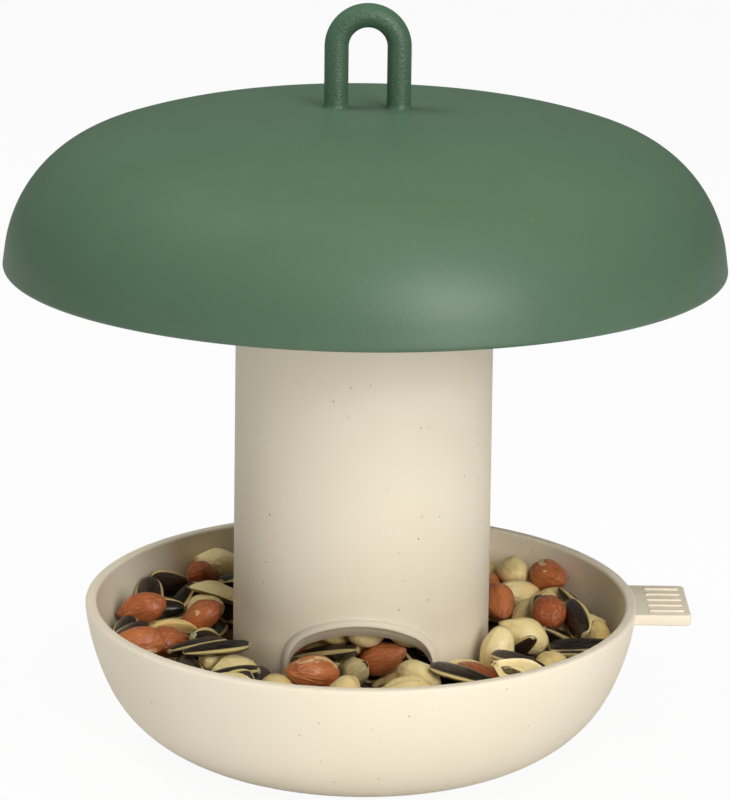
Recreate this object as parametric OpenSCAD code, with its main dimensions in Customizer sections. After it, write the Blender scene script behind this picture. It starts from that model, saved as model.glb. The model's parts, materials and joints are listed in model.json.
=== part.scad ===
// Hanging bird feeder: a feed bowl, a silo tube with arched ports and a domed rain roof with a hanging loop.
// The origin is the middle of the bowl's foot on the ground, +Z is up and -Y faces the front port.
// All lengths are in millimetres and all angles in degrees.

/* [Bowl] */
// Outer radius of the bowl at its rim
bowl_r = 84; // [80:1:92]
// Height of the bowl's rim above the ground
bowl_h = 45.1; // [42:0.1:50]
// Thickness of the bowl's wall and floor
bowl_wall = 3.5; // [3:0.1:4.5]
// Radius of the upper part of the bowl's side, seen in section
bowl_side_r = 71; // [68:1:76]
// How far the wall leans in at the rim
rim_lean = 4.9; // [3:0.1:7]
// Slope at which the side passes into the round underside
belly_turn = 25; // [22:0.5:28]
// Radius on both edges of the rim
rim_edge = 1.1; // [0.6:0.1:1.4]
// Diameter of the drain holes in the floor
drain_d = 3; // [2:0.1:3.2]
// Number of drain holes
drain_count = 6; // [4:2:8]

/* [Grip tab] */
// How far the grip tab reaches from the bowl's axis
tab_reach = 99.6; // [97:0.2:103]
// Width of the grip tab
tab_w = 28.5; // [24:0.5:32]
// Thickness of the grip tab
tab_t = 3.4; // [2.6:0.1:4]
// How far the tab's face lies below the rim
tab_drop = 0.4; // [0.3:0.1:1]
// Radius of the tab's two outer corners
tab_corner = 1.5; // [1:0.1:3]
// Number of raised grip bars on the tab
tab_bars = 5; // [3:1:6]
// Length of a grip bar
bar_l = 10.5; // [8:0.5:12]
// Width of a grip bar
bar_w = 1.3; // [1:0.1:1.8]
// Height of a grip bar
bar_h = 0.5; // [0.3:0.1:0.6]

/* [Silo tube] */
// Outer radius of the silo tube at its lower end
tube_r = 39.2; // [37.5:0.1:40]
// Draft of the tube: how much its radius shrinks over each millimetre of height
tube_draft = 0.006; // [0.004:0.001:0.008]
// Thickness of the tube's wall
tube_wall = 3.2; // [2.8:0.1:3.6]
// Height of the tube's upper end above the ground
tube_top = 179; // [176:0.1:181]
// Number of feeding ports, spread evenly from the front
port_count = 2; // [2:1:3]
// Half the width of a port
port_half_w = 21.5; // [19:0.1:22]
// Height of a port's crown above the ground, on the face of its lip
port_top = 48.8; // [46:0.1:54]
// Radius of a port's crown
port_crown_r = 31; // [28:0.5:34]
// Radius of a port's shoulders
port_shoulder_r = 12; // [9:0.5:13]
// Downward slope of a port's ceiling towards the inside
port_slope = 38; // [20:1:40]
// Width of the raised lip round a port
lip_w = 1.9; // [1.5:0.1:2.5]
// Height of the raised lip above the tube
lip_h = 1.5; // [1:0.1:2]

/* [Bayonet locks] */
// Angle that the silo or the roof turns through to lock
lock_turn = 30; // [26:1:32]
// Angle that one locking lug spans
lug_angle = 24; // [20:1:26]
// Angle that the rib beside a lug spans, which is the lock's stop
rib_angle = 4; // [3:0.5:5]
// How far a lug stands out from the tube's wall
lug_depth = 2.6; // [2:0.1:3]
// Height of a lug
lug_h = 4; // [3:0.1:5]
// How far a lower lug lies above the tube's lower end
lug_rise = 0.5; // [0.3:0.1:1]
// How far the rib between two lugs is set back from their faces
rib_setback = 0.3; // [0.2:0.1:0.4]
// Thickness of the flange that a lug turns under or over
flange_t = 3; // [2.5:0.1:4]
// Number of lugs at the tube's upper end
top_lugs = 3; // [3:1:4]
// How far the roof's collar reaches down over the tube
collar_reach = 17.6; // [15.6:0.2:19.6]
// How far the collar's flange lies above that edge
flange_rise = 0.6; // [0.4:0.1:1]

/* [Roof] */
// Outer radius of the roof at its lower edge
roof_r = 107.3; // [101:0.1:111]
// Height of the roof's crown above the tube's upper end
crown_rise = 16.6; // [16.4:0.1:20]
// Thickness of the roof's shell
roof_wall = 3; // [2.6:0.1:3.4]
// Slope at which the nearly flat crown runs into the haunch, the roof's middle arc
crown_turn = 2.6; // [1.6:0.1:5]
// Radius of the haunch, seen in section
roof_haunch_r = 139; // [130:1:150]
// Slope at which the haunch runs into the shoulder
haunch_turn = 18.6; // [16:0.2:20]
// Radius of the shoulder, seen in section
roof_shoulder_r = 40.2; // [38:0.2:42]
// Height of the straight skirt under the shoulder, measured along it
skirt_l = 6.2; // [4:0.2:9]
// Slope of the skirt
skirt_slope = 81.6; // [79:0.2:84]
// Radius on both edges of the roof's lower rim
skirt_edge = 1.2; // [0.8:0.1:1.3]
// Outer radius of the collar under the roof
collar_r = 44.5; // [44:0.1:48]
// Thickness of the collar's top web
web_t = 3; // [2.5:0.1:3.5]
// Radius of the opening in the middle of the collar's web
web_hole_r = 19; // [18:0.5:20]
// Number of screws that hold the collar
collar_screw_count = 3; // [3:1:4]
// Distance of the collar's screws from the axis
collar_screw_r = 28; // [26:0.5:29]
// Radius of the screw bosses under the roof
boss_r = 5; // [4.5:0.1:6]

/* [Hanging loop] */
// Diameter of the loop's rod
rod_d = 7.1; // [6.6:0.1:7.6]
// Width of the free gap inside the loop
loop_gap = 11.3; // [10:0.1:13]
// Height of the loop's top above the roof's crown
loop_rise = 30.9; // [28:0.1:37]
// Diameter of the loop's two feet
foot_d = 8.6; // [8.3:0.1:9.4]
// Thickness of a foot's flat edge
foot_t = 0.6; // [0.5:0.1:1.2]
// Height of the flare from a foot to the rod
foot_flare = 1.6; // [1:0.1:2.5]
// Depth of the flat seat that is cut into the roof under a foot
seat_depth = 0.4; // [0.3:0.1:0.6]
// Diameter of the tenons under the feet
tenon_d = 5.6; // [5:0.1:6]
// Radius of the thick pad under the roof's crown
pad_r = 17.5; // [17:0.1:18]
// How far that pad stands down from the roof's inner face
pad_t = 1.7; // [1.4:0.1:2.4]
// Thickness of the plate that the loop's screws pull against
plate_t = 2; // [1.5:0.1:2.5]
// Width of that plate
plate_w = 11; // [10:0.2:13]

/* [Screws and seal] */
// Diameter of a screw's shank
screw_d = 3.5; // [3:0.1:3.8]
// Diameter of a screw's head
screw_head_d = 6.6; // [6:0.1:7.4]
// Height of a screw's head
screw_head_h = 2.2; // [1.8:0.1:2.6]
// Length of a screw's shank
screw_l = 9; // [7.5:0.5:9]
// Thickness of the sealing ring between the tube and the collar
seal_t = 2.6; // [2:0.1:3]

/* [Seed cone] */
// Thickness of the cone's base disc
disc_t = 2.5; // [2:0.1:3]
// Slope of the cone's side
cone_slope = 38; // [30:1:42]
// Thickness of the cone's wall
cone_wall = 2; // [1.6:0.1:2.4]
// Width of the ring wall on the bowl's floor that carries the lower lock
lock_ring_w = 3; // [2.5:0.1:4]

/* [Feed] */
// How far the top of the feed lies below the bowl's rim
feed_drop = 7.6; // [6.8:0.1:10]
// How much higher the feed stands in the middle of the silo than at its wall
heap_rise = 10; // [6:0.5:12]
// Length of a peanut kernel
kernel_l = 17.5; // [15:0.5:19]
// Diameter of a peanut kernel
kernel_d = 10.4; // [9:0.1:10.8]
// Length of a sunflower seed
striped_l = 18; // [15:0.5:19]
// Width of a sunflower seed
striped_w = 8.4; // [7:0.1:9]
// Thickness of a sunflower seed
striped_t = 4.6; // [3.5:0.1:5.5]

/* [Clearances] */
// Gap between pieces that move against each other
run_gap = 0.3; // [0.2:0.05:0.4]
// Radial gap round a lug, a flange or a disc that turns inside another piece
turn_gap = 0.4; // [0.3:0.05:0.5]
// Angular gap beside a lug or a rib
turn_angle_gap = 0.7; // [0.5:0.1:1]
// Radial gap round a screw or a tenon in its hole
hole_gap = 0.1; // [0.05:0.01:0.15]
// Gap between the feed and the moving silo
feed_gap = 1.3; // [1:0.1:1.6]
// Gap between neighbouring seeds across and along their rows
seed_gap = 0.9; // [0.7:0.1:1.5]

/* [Hidden] */

// Finish colours
green = [0.24, 0.42, 0.31];
cream = [0.88, 0.84, 0.74];
steel = [0.72, 0.73, 0.74];
rubber_grey = [0.22, 0.22, 0.22];
feed_brown = [0.33, 0.24, 0.16];
kernel_cream = [0.87, 0.76, 0.54];
skin_red = [0.55, 0.27, 0.16];
seed_black = [0.16, 0.14, 0.13];

// Number of flats that stands for a circle, and number of steps along an arc of a section
round_fn = 96;
arc_steps = 14;
// Depth by which two shapes of one piece are run into each other
weld = 0.6;
// Length by which a cut runs past a face
past = 1;

// Bowl: circles of its section
side_centre = [bowl_r - bowl_side_r * cos(rim_lean), bowl_h + bowl_side_r * sin(rim_lean)];
belly_r = (bowl_h - bowl_side_r * (sin(belly_turn) - sin(rim_lean))) / (1 - sin(belly_turn));
foot_r = side_centre[0] + (bowl_side_r - belly_r) * cos(belly_turn);
rim_rise = bowl_side_r * sin(rim_lean) + rim_edge;
rim_out_angle = asin(rim_rise / (bowl_side_r - rim_edge));
rim_in_angle = asin(rim_rise / (bowl_side_r - bowl_wall + rim_edge));

// Silo tube
tube_low = bowl_wall + run_gap;
lip_r = tube_r + lip_h;
tube_in_r = tube_r - tube_wall;
port_pitch = 360 / port_count;

// Lower lock: the tube's lugs turn under a flange on a ring that stands on the bowl's floor
low_lug_z = [tube_low + lug_rise, tube_low + lug_rise + lug_h];
low_flange_z = [low_lug_z[1] + run_gap, low_lug_z[1] + run_gap + flange_t];
low_block_z = [low_flange_z[1] + run_gap, low_flange_z[1] + 2 * run_gap + disc_t];
low_lug_in_r = tube_in_r - lug_depth;
lock_ring_r = low_lug_in_r - turn_gap;
disc_z = [low_flange_z[1] + run_gap, low_flange_z[1] + run_gap + disc_t];
disc_r = tube_in_r - turn_gap;

// Seed cone
cone_base_r = lock_ring_r - 2 * turn_gap;
cone_tip_r = 2.4;
cone_h = (cone_base_r - cone_tip_r) * tan(cone_slope);

// Upper lock: the tube's outer lugs turn over a flange inside the roof collar
collar_low = tube_top - collar_reach;
flange_z = [collar_low + flange_rise, collar_low + flange_rise + flange_t];
lug_z = [flange_z[1] + run_gap, flange_z[1] + run_gap + lug_h];
lug_out_r = tube_out(collar_low) + lug_depth;
collar_in_r = lug_out_r + turn_gap;
flange_in_r = tube_out(collar_low) + turn_gap;
seal_z = [tube_top + run_gap / 2, tube_top + run_gap / 2 + seal_t];
web_z = [seal_z[1] + run_gap / 2, seal_z[1] + run_gap / 2 + web_t];

// Roof: circles of its section, from the crown down to the lower edge
shoulder_run = roof_r - skirt_l * cos(skirt_slope) - roof_shoulder_r * sin(skirt_slope);
haunch_run = shoulder_run - (roof_haunch_r - roof_shoulder_r) * sin(haunch_turn);
crown_r = haunch_run / sin(crown_turn) + roof_haunch_r;
roof_top = tube_top + crown_rise;
crown_centre = [0, roof_top - crown_r];
haunch_centre = [haunch_run, crown_centre[1] + (crown_r - roof_haunch_r) * cos(crown_turn)];
shoulder_centre = [shoulder_run, haunch_centre[1] + (roof_haunch_r - roof_shoulder_r) * cos(haunch_turn)];
roof_rim_z = shoulder_centre[1] + roof_shoulder_r * cos(skirt_slope) - skirt_l * sin(skirt_slope);

// Hanging loop and what holds it
rod_r = rod_d / 2;
loop_r = loop_gap / 2 + rod_r;
loop_centre_z = roof_top + loop_rise - loop_r - rod_r;
seat_z = roof_outer_z(loop_r + foot_d / 2) - seat_depth;
pad_z = roof_top - roof_wall - pad_t;
plate_z = [pad_z - plate_t, pad_z];

// Feed
feed_top = bowl_h - feed_drop;
bed_top = feed_top - kernel_d - run_gap;
bed_in_r = lip_r + feed_gap;
silo_feed_r = low_lug_in_r - run_gap;
silo_feed_low = low_block_z[1] + run_gap;
row_w = kernel_d + seed_gap;
seed_pitch = max(kernel_l, striped_l) + 2 * seed_gap;

// Outer radius of the tube at a height
function tube_out(z) = tube_r - tube_draft * (z - tube_low);

// Height of the roof's outer crown at a distance from the axis
function roof_outer_z(r) = roof_top - crown_r + sqrt(crown_r * crown_r - r * r);

// Points along an arc round a centre
function arc(centre, r, from, to, steps = arc_steps) =
    [for (i = [0:steps])
        centre + r * [cos(from + (to - from) * i / steps), sin(from + (to - from) * i / steps)]];

// The bowl's section line at a depth under its outer face, from the foot up to a given slope at the rim
function bowl_line(depth, rim_angle) = concat(
    arc([foot_r, belly_r], belly_r - depth, -90, -belly_turn),
    arc(side_centre, bowl_side_r - depth, -belly_turn, -rim_angle)
);

// Radius of the bowl's inner face at a height on its side
function bowl_inner_r(z) = side_centre[0]
    + sqrt(pow(bowl_side_r - bowl_wall, 2) - pow(side_centre[1] - z, 2));

// Reverse the order of a list
function reversed(list) = [for (i = [len(list) - 1:-1:0]) list[i]];

// Closed outline of an arch whose crown and shoulders are arcs, standing on straight sides
function arch_outline(half_w, top, crown, shoulder, low) =
    let (
        crown_c = [0, top - crown],
        shoulder_x = half_w - shoulder,
        shoulder_z = crown_c[1] + sqrt(pow(crown - shoulder, 2) - pow(shoulder_x, 2)),
        turn = atan2(shoulder_z - crown_c[1], shoulder_x)
    )
    concat(
        [[half_w, low]],
        arc([shoulder_x, shoulder_z], shoulder, 0, turn, 8),
        arc(crown_c, crown, turn, 180 - turn, 12),
        arc([-shoulder_x, shoulder_z], shoulder, 180 - turn, 180, 8),
        [[-half_w, low]]
    );

// Ring sector between two radii, two heights and two angles
module sector(r, z, from, to) {
    rotate([0, 0, from])
        rotate_extrude(angle = to - from, $fn = round_fn)
            translate([r[0], z[0]])
                square([r[1] - r[0], z[1] - z[0]]);
}

// Plain ring between two radii and two heights
module ring(r, z) {
    translate([0, 0, z[0]])
        difference() {
            cylinder(r = r[1], h = z[1] - z[0], $fn = round_fn);
            translate([0, 0, -past])
                cylinder(r = r[0], h = z[1] - z[0] + 2 * past, $fn = round_fn);
        }
}

// Copies children round the axis, the first one at a start angle
module around(count, start = 0) {
    for (i = [0:count - 1])
        rotate([0, 0, start + i * 360 / count])
            children();
}

// Flange of a lock, open beside each lug so far that the lug's rib can turn through the lock angle in it. The
// rib is at the lug's end that turns last: side 1 for lugs that turn clockwise in their flange, -1 for others
module lock_flange(r, z, count, start, side) {
    open_from = lug_angle / 2 - rib_angle - lock_turn - turn_angle_gap;
    open_to = lug_angle / 2 + turn_angle_gap;
    around(count, start)
        if (side > 0)
            sector(r, z, open_to, 360 / count + open_from);
        else
            sector(r, z, -open_from, 360 / count - open_to);
}

// Rib at the end of a lug that turns last, which stops against the ends of the opening
module lock_rib(r, z, side) {
    near = lug_angle / 2 - rib_angle;
    far = lug_angle / 2 - turn_angle_gap / 2;
    sector(r, z, side > 0 ? near : -far, side > 0 ? far : -near);
}

// Raised grip bars and the flat tab that carries them
module grip_tab() {
    face_z = bowl_h - tab_drop;
    bar_pitch = (tab_w - 2 * tab_corner) / tab_bars;
    difference() {
        translate([0, 0, face_z - tab_t])
            linear_extrude(height = tab_t)
                polygon(concat(
                    [[0, -tab_w / 2]],
                    arc([tab_reach - tab_corner, -tab_w / 2 + tab_corner], tab_corner, -90, 0, 6),
                    arc([tab_reach - tab_corner, tab_w / 2 - tab_corner], tab_corner, 0, 90, 6),
                    [[0, tab_w / 2]]
                ));
        translate([0, 0, face_z - tab_t - past])
            cylinder(r = bowl_r - bowl_wall / 2, h = tab_t + 2 * past, $fn = round_fn);
    }
    for (i = [0:tab_bars - 1])
        translate([tab_reach - 2 - bar_l, (i - (tab_bars - 1) / 2) * bar_pitch - bar_w / 2, face_z - weld])
            cube([bar_l, bar_w, bar_h + weld]);
}

module bowl() {
    drain_r = (lip_r + foot_r) / 2;
    color(cream) difference() {
        union() {
            rotate_extrude($fn = round_fn)
                polygon(concat(
                    [[0, 0]],
                    bowl_line(0, rim_out_angle),
                    arc(side_centre + (bowl_side_r - rim_edge) * [cos(rim_out_angle), -sin(rim_out_angle)],
                        rim_edge, -rim_out_angle, 90, 6),
                    arc(side_centre
                        + (bowl_side_r - bowl_wall + rim_edge) * [cos(rim_in_angle), -sin(rim_in_angle)],
                        rim_edge, 90, 180 - rim_in_angle, 6),
                    reversed(bowl_line(bowl_wall, rim_in_angle)),
                    [[0, bowl_wall]]
                ));
            ring([lock_ring_r - lock_ring_w, lock_ring_r], [bowl_wall - weld, low_flange_z[1] - weld]);
            lock_flange([lock_ring_r - lock_ring_w / 2, disc_r], low_flange_z,
                port_count, port_pitch / 2 - 90, 1);
            grip_tab();
        }
        around(drain_count, 180 / drain_count)
            translate([drain_r, 0, -past])
                cylinder(d = drain_d, h = bowl_wall + 2 * past, $fn = 24);
    }
}

// Loose cone that steers the feed out to the ports; its disc is open where the silo's lugs pass
module seed_cone() {
    notch = lug_angle / 2 + turn_angle_gap;
    inner_base_r = cone_base_r - cone_wall / sin(cone_slope);
    color(cream) {
        difference() {
            union() {
                ring([inner_base_r, disc_r], disc_z);
                rotate_extrude($fn = round_fn)
                    polygon([
                        [inner_base_r, disc_z[1] - weld],
                        [cone_base_r, disc_z[1] - weld],
                        [cone_base_r, disc_z[1]],
                        [cone_tip_r, disc_z[1] + cone_h],
                        [0, disc_z[1] + cone_h],
                        [0, disc_z[1] + cone_h - cone_wall],
                        [cone_tip_r / 2, disc_z[1] + cone_h - cone_wall]
                    ]);
            }
            around(port_count, port_pitch / 2 - 90)
                sector([low_lug_in_r - turn_gap, disc_r + past], [disc_z[0] - past, disc_z[1] + past],
                    -notch, notch);
        }
    }
}

// Straight or sloping prism of an arch outline, pointing at the front
module port_cut() {
    slope = tan(port_slope);
    flat = arch_outline(port_half_w, port_top, port_crown_r, port_shoulder_r, -tube_r);
    // The outline is lifted away from the middle, so that its edge on the round lip is the arch itself
    lifted = [for (p = flat)
        [p[0], (p[1] + slope * (lip_r - sqrt(lip_r * lip_r - p[0] * p[0]))) * cos(port_slope)]];
    translate([0, -lip_r, 0])
        rotate([90 - port_slope, 0, 0])
            translate([0, 0, -tube_r])
                linear_extrude(height = 2 * tube_r + port_top)
                    polygon(lifted);
}

module port_lip() {
    intersection() {
        rotate([90, 0, 0])
            linear_extrude(height = 2 * tube_r)
                polygon(arch_outline(port_half_w + lip_w, port_top + lip_w,
                    port_crown_r + lip_w, port_shoulder_r + lip_w, tube_low));
        ring([tube_r - tube_wall / 2, lip_r], [tube_low, port_top + 2 * lip_w]);
    }
}

module silo_tube() {
    top_out_r = tube_out(tube_top);
    color(cream) {
        difference() {
            union() {
                rotate_extrude($fn = round_fn)
                    polygon([
                        [tube_in_r, tube_low], [tube_r, tube_low],
                        [top_out_r, tube_top], [top_out_r - tube_wall, tube_top]
                    ]);
                around(port_count)
                    port_lip();
            }
            around(port_count)
                port_cut();
        }
        around(port_count, port_pitch / 2 - 90) {
            sector([low_lug_in_r, tube_in_r + weld], low_lug_z, -lug_angle / 2, lug_angle / 2);
            lock_rib([low_lug_in_r + rib_setback, tube_in_r + 1.5 * weld],
                [low_lug_z[1] - weld, low_block_z[0] + weld], 1);
            sector([low_lug_in_r, tube_in_r + weld], low_block_z, -lug_angle / 2, lug_angle / 2);
        }
        around(top_lugs, 90) {
            sector([top_out_r - weld, lug_out_r], lug_z, -lug_angle / 2, lug_angle / 2);
            lock_rib([top_out_r - 1.5 * weld, lug_out_r - rib_setback], [flange_z[0], lug_z[0] + weld], -1);
        }
    }
}

module silo_seal() {
    out_r = tube_out(tube_top) - run_gap;
    color(rubber_grey)
        ring([out_r - tube_wall + 2 * run_gap, out_r], seal_z);
}

// Places children at the two feet of the loop
module at_feet() {
    for (side = [-1, 1])
        translate([side * loop_r, 0, 0])
            children();
}

module roof_shell() {
    skirt_dir = [cos(skirt_slope), -sin(skirt_slope)];
    skirt_out = [sin(skirt_slope), cos(skirt_slope)];
    edge = [roof_r, roof_rim_z];
    color(green) difference() {
        union() {
            rotate_extrude($fn = round_fn)
                polygon(concat(
                    arc(crown_centre, crown_r, 90, 90 - crown_turn),
                    arc(haunch_centre, roof_haunch_r, 90 - crown_turn, 90 - haunch_turn),
                    arc(shoulder_centre, roof_shoulder_r, 90 - haunch_turn, 90 - skirt_slope, 22),
                    arc(edge - skirt_edge * (skirt_out + skirt_dir), skirt_edge,
                        90 - skirt_slope, -skirt_slope, 6),
                    arc(edge - (roof_wall - skirt_edge) * skirt_out - skirt_edge * skirt_dir,
                        skirt_edge, -skirt_slope, -90 - skirt_slope, 6),
                    arc(shoulder_centre, roof_shoulder_r - roof_wall, 90 - skirt_slope, 90 - haunch_turn, 22),
                    arc(haunch_centre, roof_haunch_r - roof_wall, 90 - haunch_turn, 90 - crown_turn),
                    arc(crown_centre, crown_r - roof_wall, 90 - crown_turn, 90)
                ));
            translate([0, 0, pad_z])
                cylinder(r = pad_r, h = roof_outer_z(pad_r) - pad_z - roof_wall / 2, $fn = round_fn);
            around(collar_screw_count, 90)
                translate([collar_screw_r, 0, web_z[1]])
                    cylinder(r = boss_r,
                        h = roof_outer_z(collar_screw_r) - web_z[1] - roof_wall / 2, $fn = 48);
        }
        around(collar_screw_count, 90)
            translate([collar_screw_r, 0, web_z[1] - past])
                cylinder(d = screw_d + 2 * hole_gap, h = screw_l - web_t + past + run_gap, $fn = 24);
        at_feet() {
            translate([0, 0, seat_z])
                cylinder(d = foot_d + 2 * hole_gap, h = foot_d, $fn = 48);
            translate([0, 0, pad_z - past])
                cylinder(d = tenon_d + 2 * hole_gap, h = foot_d, $fn = 32);
        }
    }
}

module roof_collar() {
    color(green) difference() {
        union() {
            rotate_extrude($fn = round_fn)
                polygon([
                    [web_hole_r, web_z[0]], [collar_in_r, web_z[0]], [collar_in_r, collar_low],
                    [collar_r, collar_low], [collar_r, web_z[1]], [web_hole_r, web_z[1]]
                ]);
            lock_flange([flange_in_r, collar_in_r + weld], flange_z, top_lugs, 90, -1);
        }
        around(collar_screw_count, 90)
            translate([collar_screw_r, 0, web_z[0] - past])
                cylinder(d = screw_d + 2 * hole_gap, h = web_t + 2 * past, $fn = 24);
    }
}

// Pan-head screw with a cross recess, pointing up, the underside of its head at the origin
module screw() {
    slot_l = screw_head_d * 0.55;
    slot_w = screw_head_d * 0.13;
    slot_depth = screw_head_h * 0.5;
    difference() {
        union() {
            cylinder(d = screw_d, h = screw_l, $fn = 32);
            translate([0, 0, -screw_head_h])
                rotate_extrude($fn = 48)
                    polygon([
                        [0, 0], [screw_head_d * 0.34, 0], [screw_head_d * 0.45, screw_head_h * 0.2],
                        [screw_head_d / 2, screw_head_h * 0.55], [screw_head_d / 2, screw_head_h],
                        [0, screw_head_h]
                    ]);
        }
        for (turn = [0, 90])
            rotate([0, 0, turn])
                translate([-slot_l / 2, -slot_w / 2, -screw_head_h - past])
                    cube([slot_l, slot_w, slot_depth + past]);
    }
}

module collar_screws() {
    color(steel)
        around(collar_screw_count, 90)
            translate([collar_screw_r, 0, web_z[0]])
                screw();
}

module hanging_loop() {
    color(green) difference() {
        union() {
            translate([0, 0, loop_centre_z])
                rotate([90, 0, 0])
                    rotate_extrude(angle = 180, $fn = round_fn)
                        translate([loop_r, 0])
                            circle(r = rod_r, $fn = 48);
            at_feet() {
                translate([0, 0, seat_z])
                    cylinder(r = rod_r, h = loop_centre_z - seat_z, $fn = 48);
                // Core that joins the leg to the bow above it
                translate([0, 0, loop_centre_z - rod_r])
                    cylinder(r = 0.7 * rod_r, h = rod_r + weld, $fn = 48);
                translate([0, 0, pad_z])
                    cylinder(d = tenon_d, h = seat_z - pad_z + weld, $fn = 48);
                translate([0, 0, seat_z])
                    rotate_extrude($fn = 48)
                        polygon(concat(
                            [[0, 0], [foot_d / 2, 0], [foot_d / 2, foot_t]],
                            [for (a = [15:15:90])
                                [rod_r + (foot_d / 2 - rod_r) * (1 - sin(a)),
                                 foot_t + foot_flare * (1 - cos(a))]],
                            [[0, foot_t + foot_flare]]
                        ));
            }
        }
        at_feet()
            translate([0, 0, pad_z - past])
                cylinder(d = screw_d + 2 * hole_gap, h = screw_l - plate_t + past + run_gap, $fn = 32);
    }
}

module loop_plate() {
    color(steel) difference() {
        translate([0, 0, plate_z[0]])
            linear_extrude(height = plate_t)
                polygon(concat(
                    arc([loop_r, 0], plate_w / 2, -90, 90, 16),
                    arc([-loop_r, 0], plate_w / 2, 90, 270, 16)
                ));
        at_feet()
            translate([0, 0, plate_z[0] - past])
                cylinder(d = screw_d + 2 * hole_gap, h = plate_t + 2 * past, $fn = 32);
    }
}

module loop_screws() {
    color(steel)
        at_feet()
            translate([0, 0, plate_z[0]])
                screw();
}

// Body of feed that lies in the bowl, clear of the silo, under the top layer of seeds
module feed_bed() {
    line = [for (p = bowl_line(bowl_wall + run_gap, rim_in_angle)) if (p[1] < bed_top && p[0] > bed_in_r) p];
    wall_r = bowl_inner_r(bed_top) - run_gap * 1.1;
    color(feed_brown)
        rotate_extrude($fn = round_fn)
            polygon(concat(
                [[bed_in_r, bowl_wall + run_gap]],
                line,
                [[wall_r, bed_top], [bed_in_r, bed_top]]
            ));
}

// Heap of feed inside the silo, lying on the seed cone
module silo_feed() {
    cone_foot = cone_base_r + run_gap - (silo_feed_low - disc_z[1]) / tan(cone_slope);
    tip_z = disc_z[1] + cone_h + run_gap;
    color(feed_brown)
        rotate_extrude($fn = round_fn)
            polygon(concat(
                [[0, tip_z], [cone_tip_r + run_gap, tip_z], [cone_foot + run_gap, silo_feed_low],
                 [silo_feed_r, silo_feed_low]],
                [for (a = [0:15:90]) [silo_feed_r * cos(a), feed_top + heap_rise * sin(a)]]
            ));
}

// Kernel lying along X: a barrel whose ends are parts of one ball
module kernel() {
    side_r = kernel_l * 0.9;
    rotate([0, 90, 0])
        rotate_extrude($fn = 32)
            intersection() {
                translate([kernel_d / 2 - side_r, 0])
                    circle(r = side_r, $fn = 96);
                circle(d = kernel_l, $fn = 96);
                translate([0, -kernel_l])
                    square([kernel_d, 2 * kernel_l]);
            }
}

// Pointed seed lying along X: the part that two pairs of discs have in common
module striped_seed() {
    wide_r = (pow(striped_l / 2, 2) + pow(striped_w / 2, 2)) / striped_w;
    thick_r = (pow(striped_l / 2, 2) + pow(striped_t / 2, 2)) / striped_t;
    intersection() {
        intersection_for (side = [-1, 1])
            translate([0, side * (wide_r - striped_w / 2), -striped_t])
                cylinder(r = wide_r, h = 2 * striped_t, $fn = 64);
        intersection_for (side = [-1, 1])
            translate([0, 0, side * (thick_r - striped_t / 2)])
                rotate([90, 0, 0])
                    cylinder(r = thick_r, h = 2 * striped_w, center = true, $fn = 64);
    }
}

// Lays children on the feed in rings round the silo, in the places whose turn it is
module on_feed(turns, height) {
    first_r = bed_in_r + row_w / 2;
    rows = floor((bowl_inner_r(bed_top) - bed_in_r) / row_w);
    for (row = [0:rows - 1]) {
        r = first_r + row * row_w;
        count = floor(360 / (2 * asin(seed_pitch / 2 / r)));
        for (i = [0:count - 1])
            if (len([for (turn = turns) if ((i * 3 + row * 2) % 5 == turn) turn]) > 0)
                rotate([0, 0, (i + row * 0.37) * 360 / count])
                    translate([r, 0, bed_top + run_gap + height / 2])
                        rotate([0, 0, 90 + 5 * sin(i * 137.5)])
                            children();
    }
}

module peanut_kernels() {
    color(kernel_cream)
        on_feed([0, 3], kernel_d)
            kernel();
}

module redskin_peanuts() {
    color(skin_red)
        on_feed([2], kernel_d)
            kernel();
}

module sunflower_seeds() {
    color(seed_black)
        on_feed([1, 4], striped_t)
            striped_seed();
}

bowl();
seed_cone();
silo_tube();
silo_seal();
roof_shell();
roof_collar();
collar_screws();
hanging_loop();
loop_plate();
loop_screws();
feed_bed();
silo_feed();
peanut_kernels();
redskin_peanuts();
sunflower_seeds();
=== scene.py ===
# %% [markdown]
# # A hanging bird feeder
# The feeder is moulded from a matt composite of plastic and plant fibre. A green domed roof with a hanging
# loop keeps the rain off a cream silo tube, and the tube stands in a cream bowl with a small grip tab.
# The bowl is full of peanuts and striped sunflower seeds, which run out of the silo through an arched port.
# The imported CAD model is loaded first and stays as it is: every piece below is built around it, in metres.

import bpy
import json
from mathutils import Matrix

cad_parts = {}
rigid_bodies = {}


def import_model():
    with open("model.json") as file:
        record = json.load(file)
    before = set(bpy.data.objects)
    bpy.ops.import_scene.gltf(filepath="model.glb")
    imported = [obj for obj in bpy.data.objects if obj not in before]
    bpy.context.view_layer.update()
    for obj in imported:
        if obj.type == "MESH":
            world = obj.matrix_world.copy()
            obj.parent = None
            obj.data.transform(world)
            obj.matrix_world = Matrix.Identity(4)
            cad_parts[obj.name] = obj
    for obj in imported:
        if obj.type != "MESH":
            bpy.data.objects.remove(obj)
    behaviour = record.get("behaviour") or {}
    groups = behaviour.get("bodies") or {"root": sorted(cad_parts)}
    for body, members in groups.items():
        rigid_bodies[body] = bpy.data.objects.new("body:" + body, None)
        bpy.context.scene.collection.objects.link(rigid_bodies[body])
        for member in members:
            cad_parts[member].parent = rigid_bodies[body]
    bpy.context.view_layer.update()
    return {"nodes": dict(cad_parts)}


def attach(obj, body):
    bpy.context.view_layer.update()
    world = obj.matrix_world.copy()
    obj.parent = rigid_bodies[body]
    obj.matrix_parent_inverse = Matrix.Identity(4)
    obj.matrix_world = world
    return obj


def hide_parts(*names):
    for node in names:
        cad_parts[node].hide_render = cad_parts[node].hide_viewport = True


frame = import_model()

import json
import math
import random

import bmesh
import bpy
from mathutils import Euler, Matrix, Vector, noise

MM = 0.001
scene = bpy.context.scene

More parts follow.
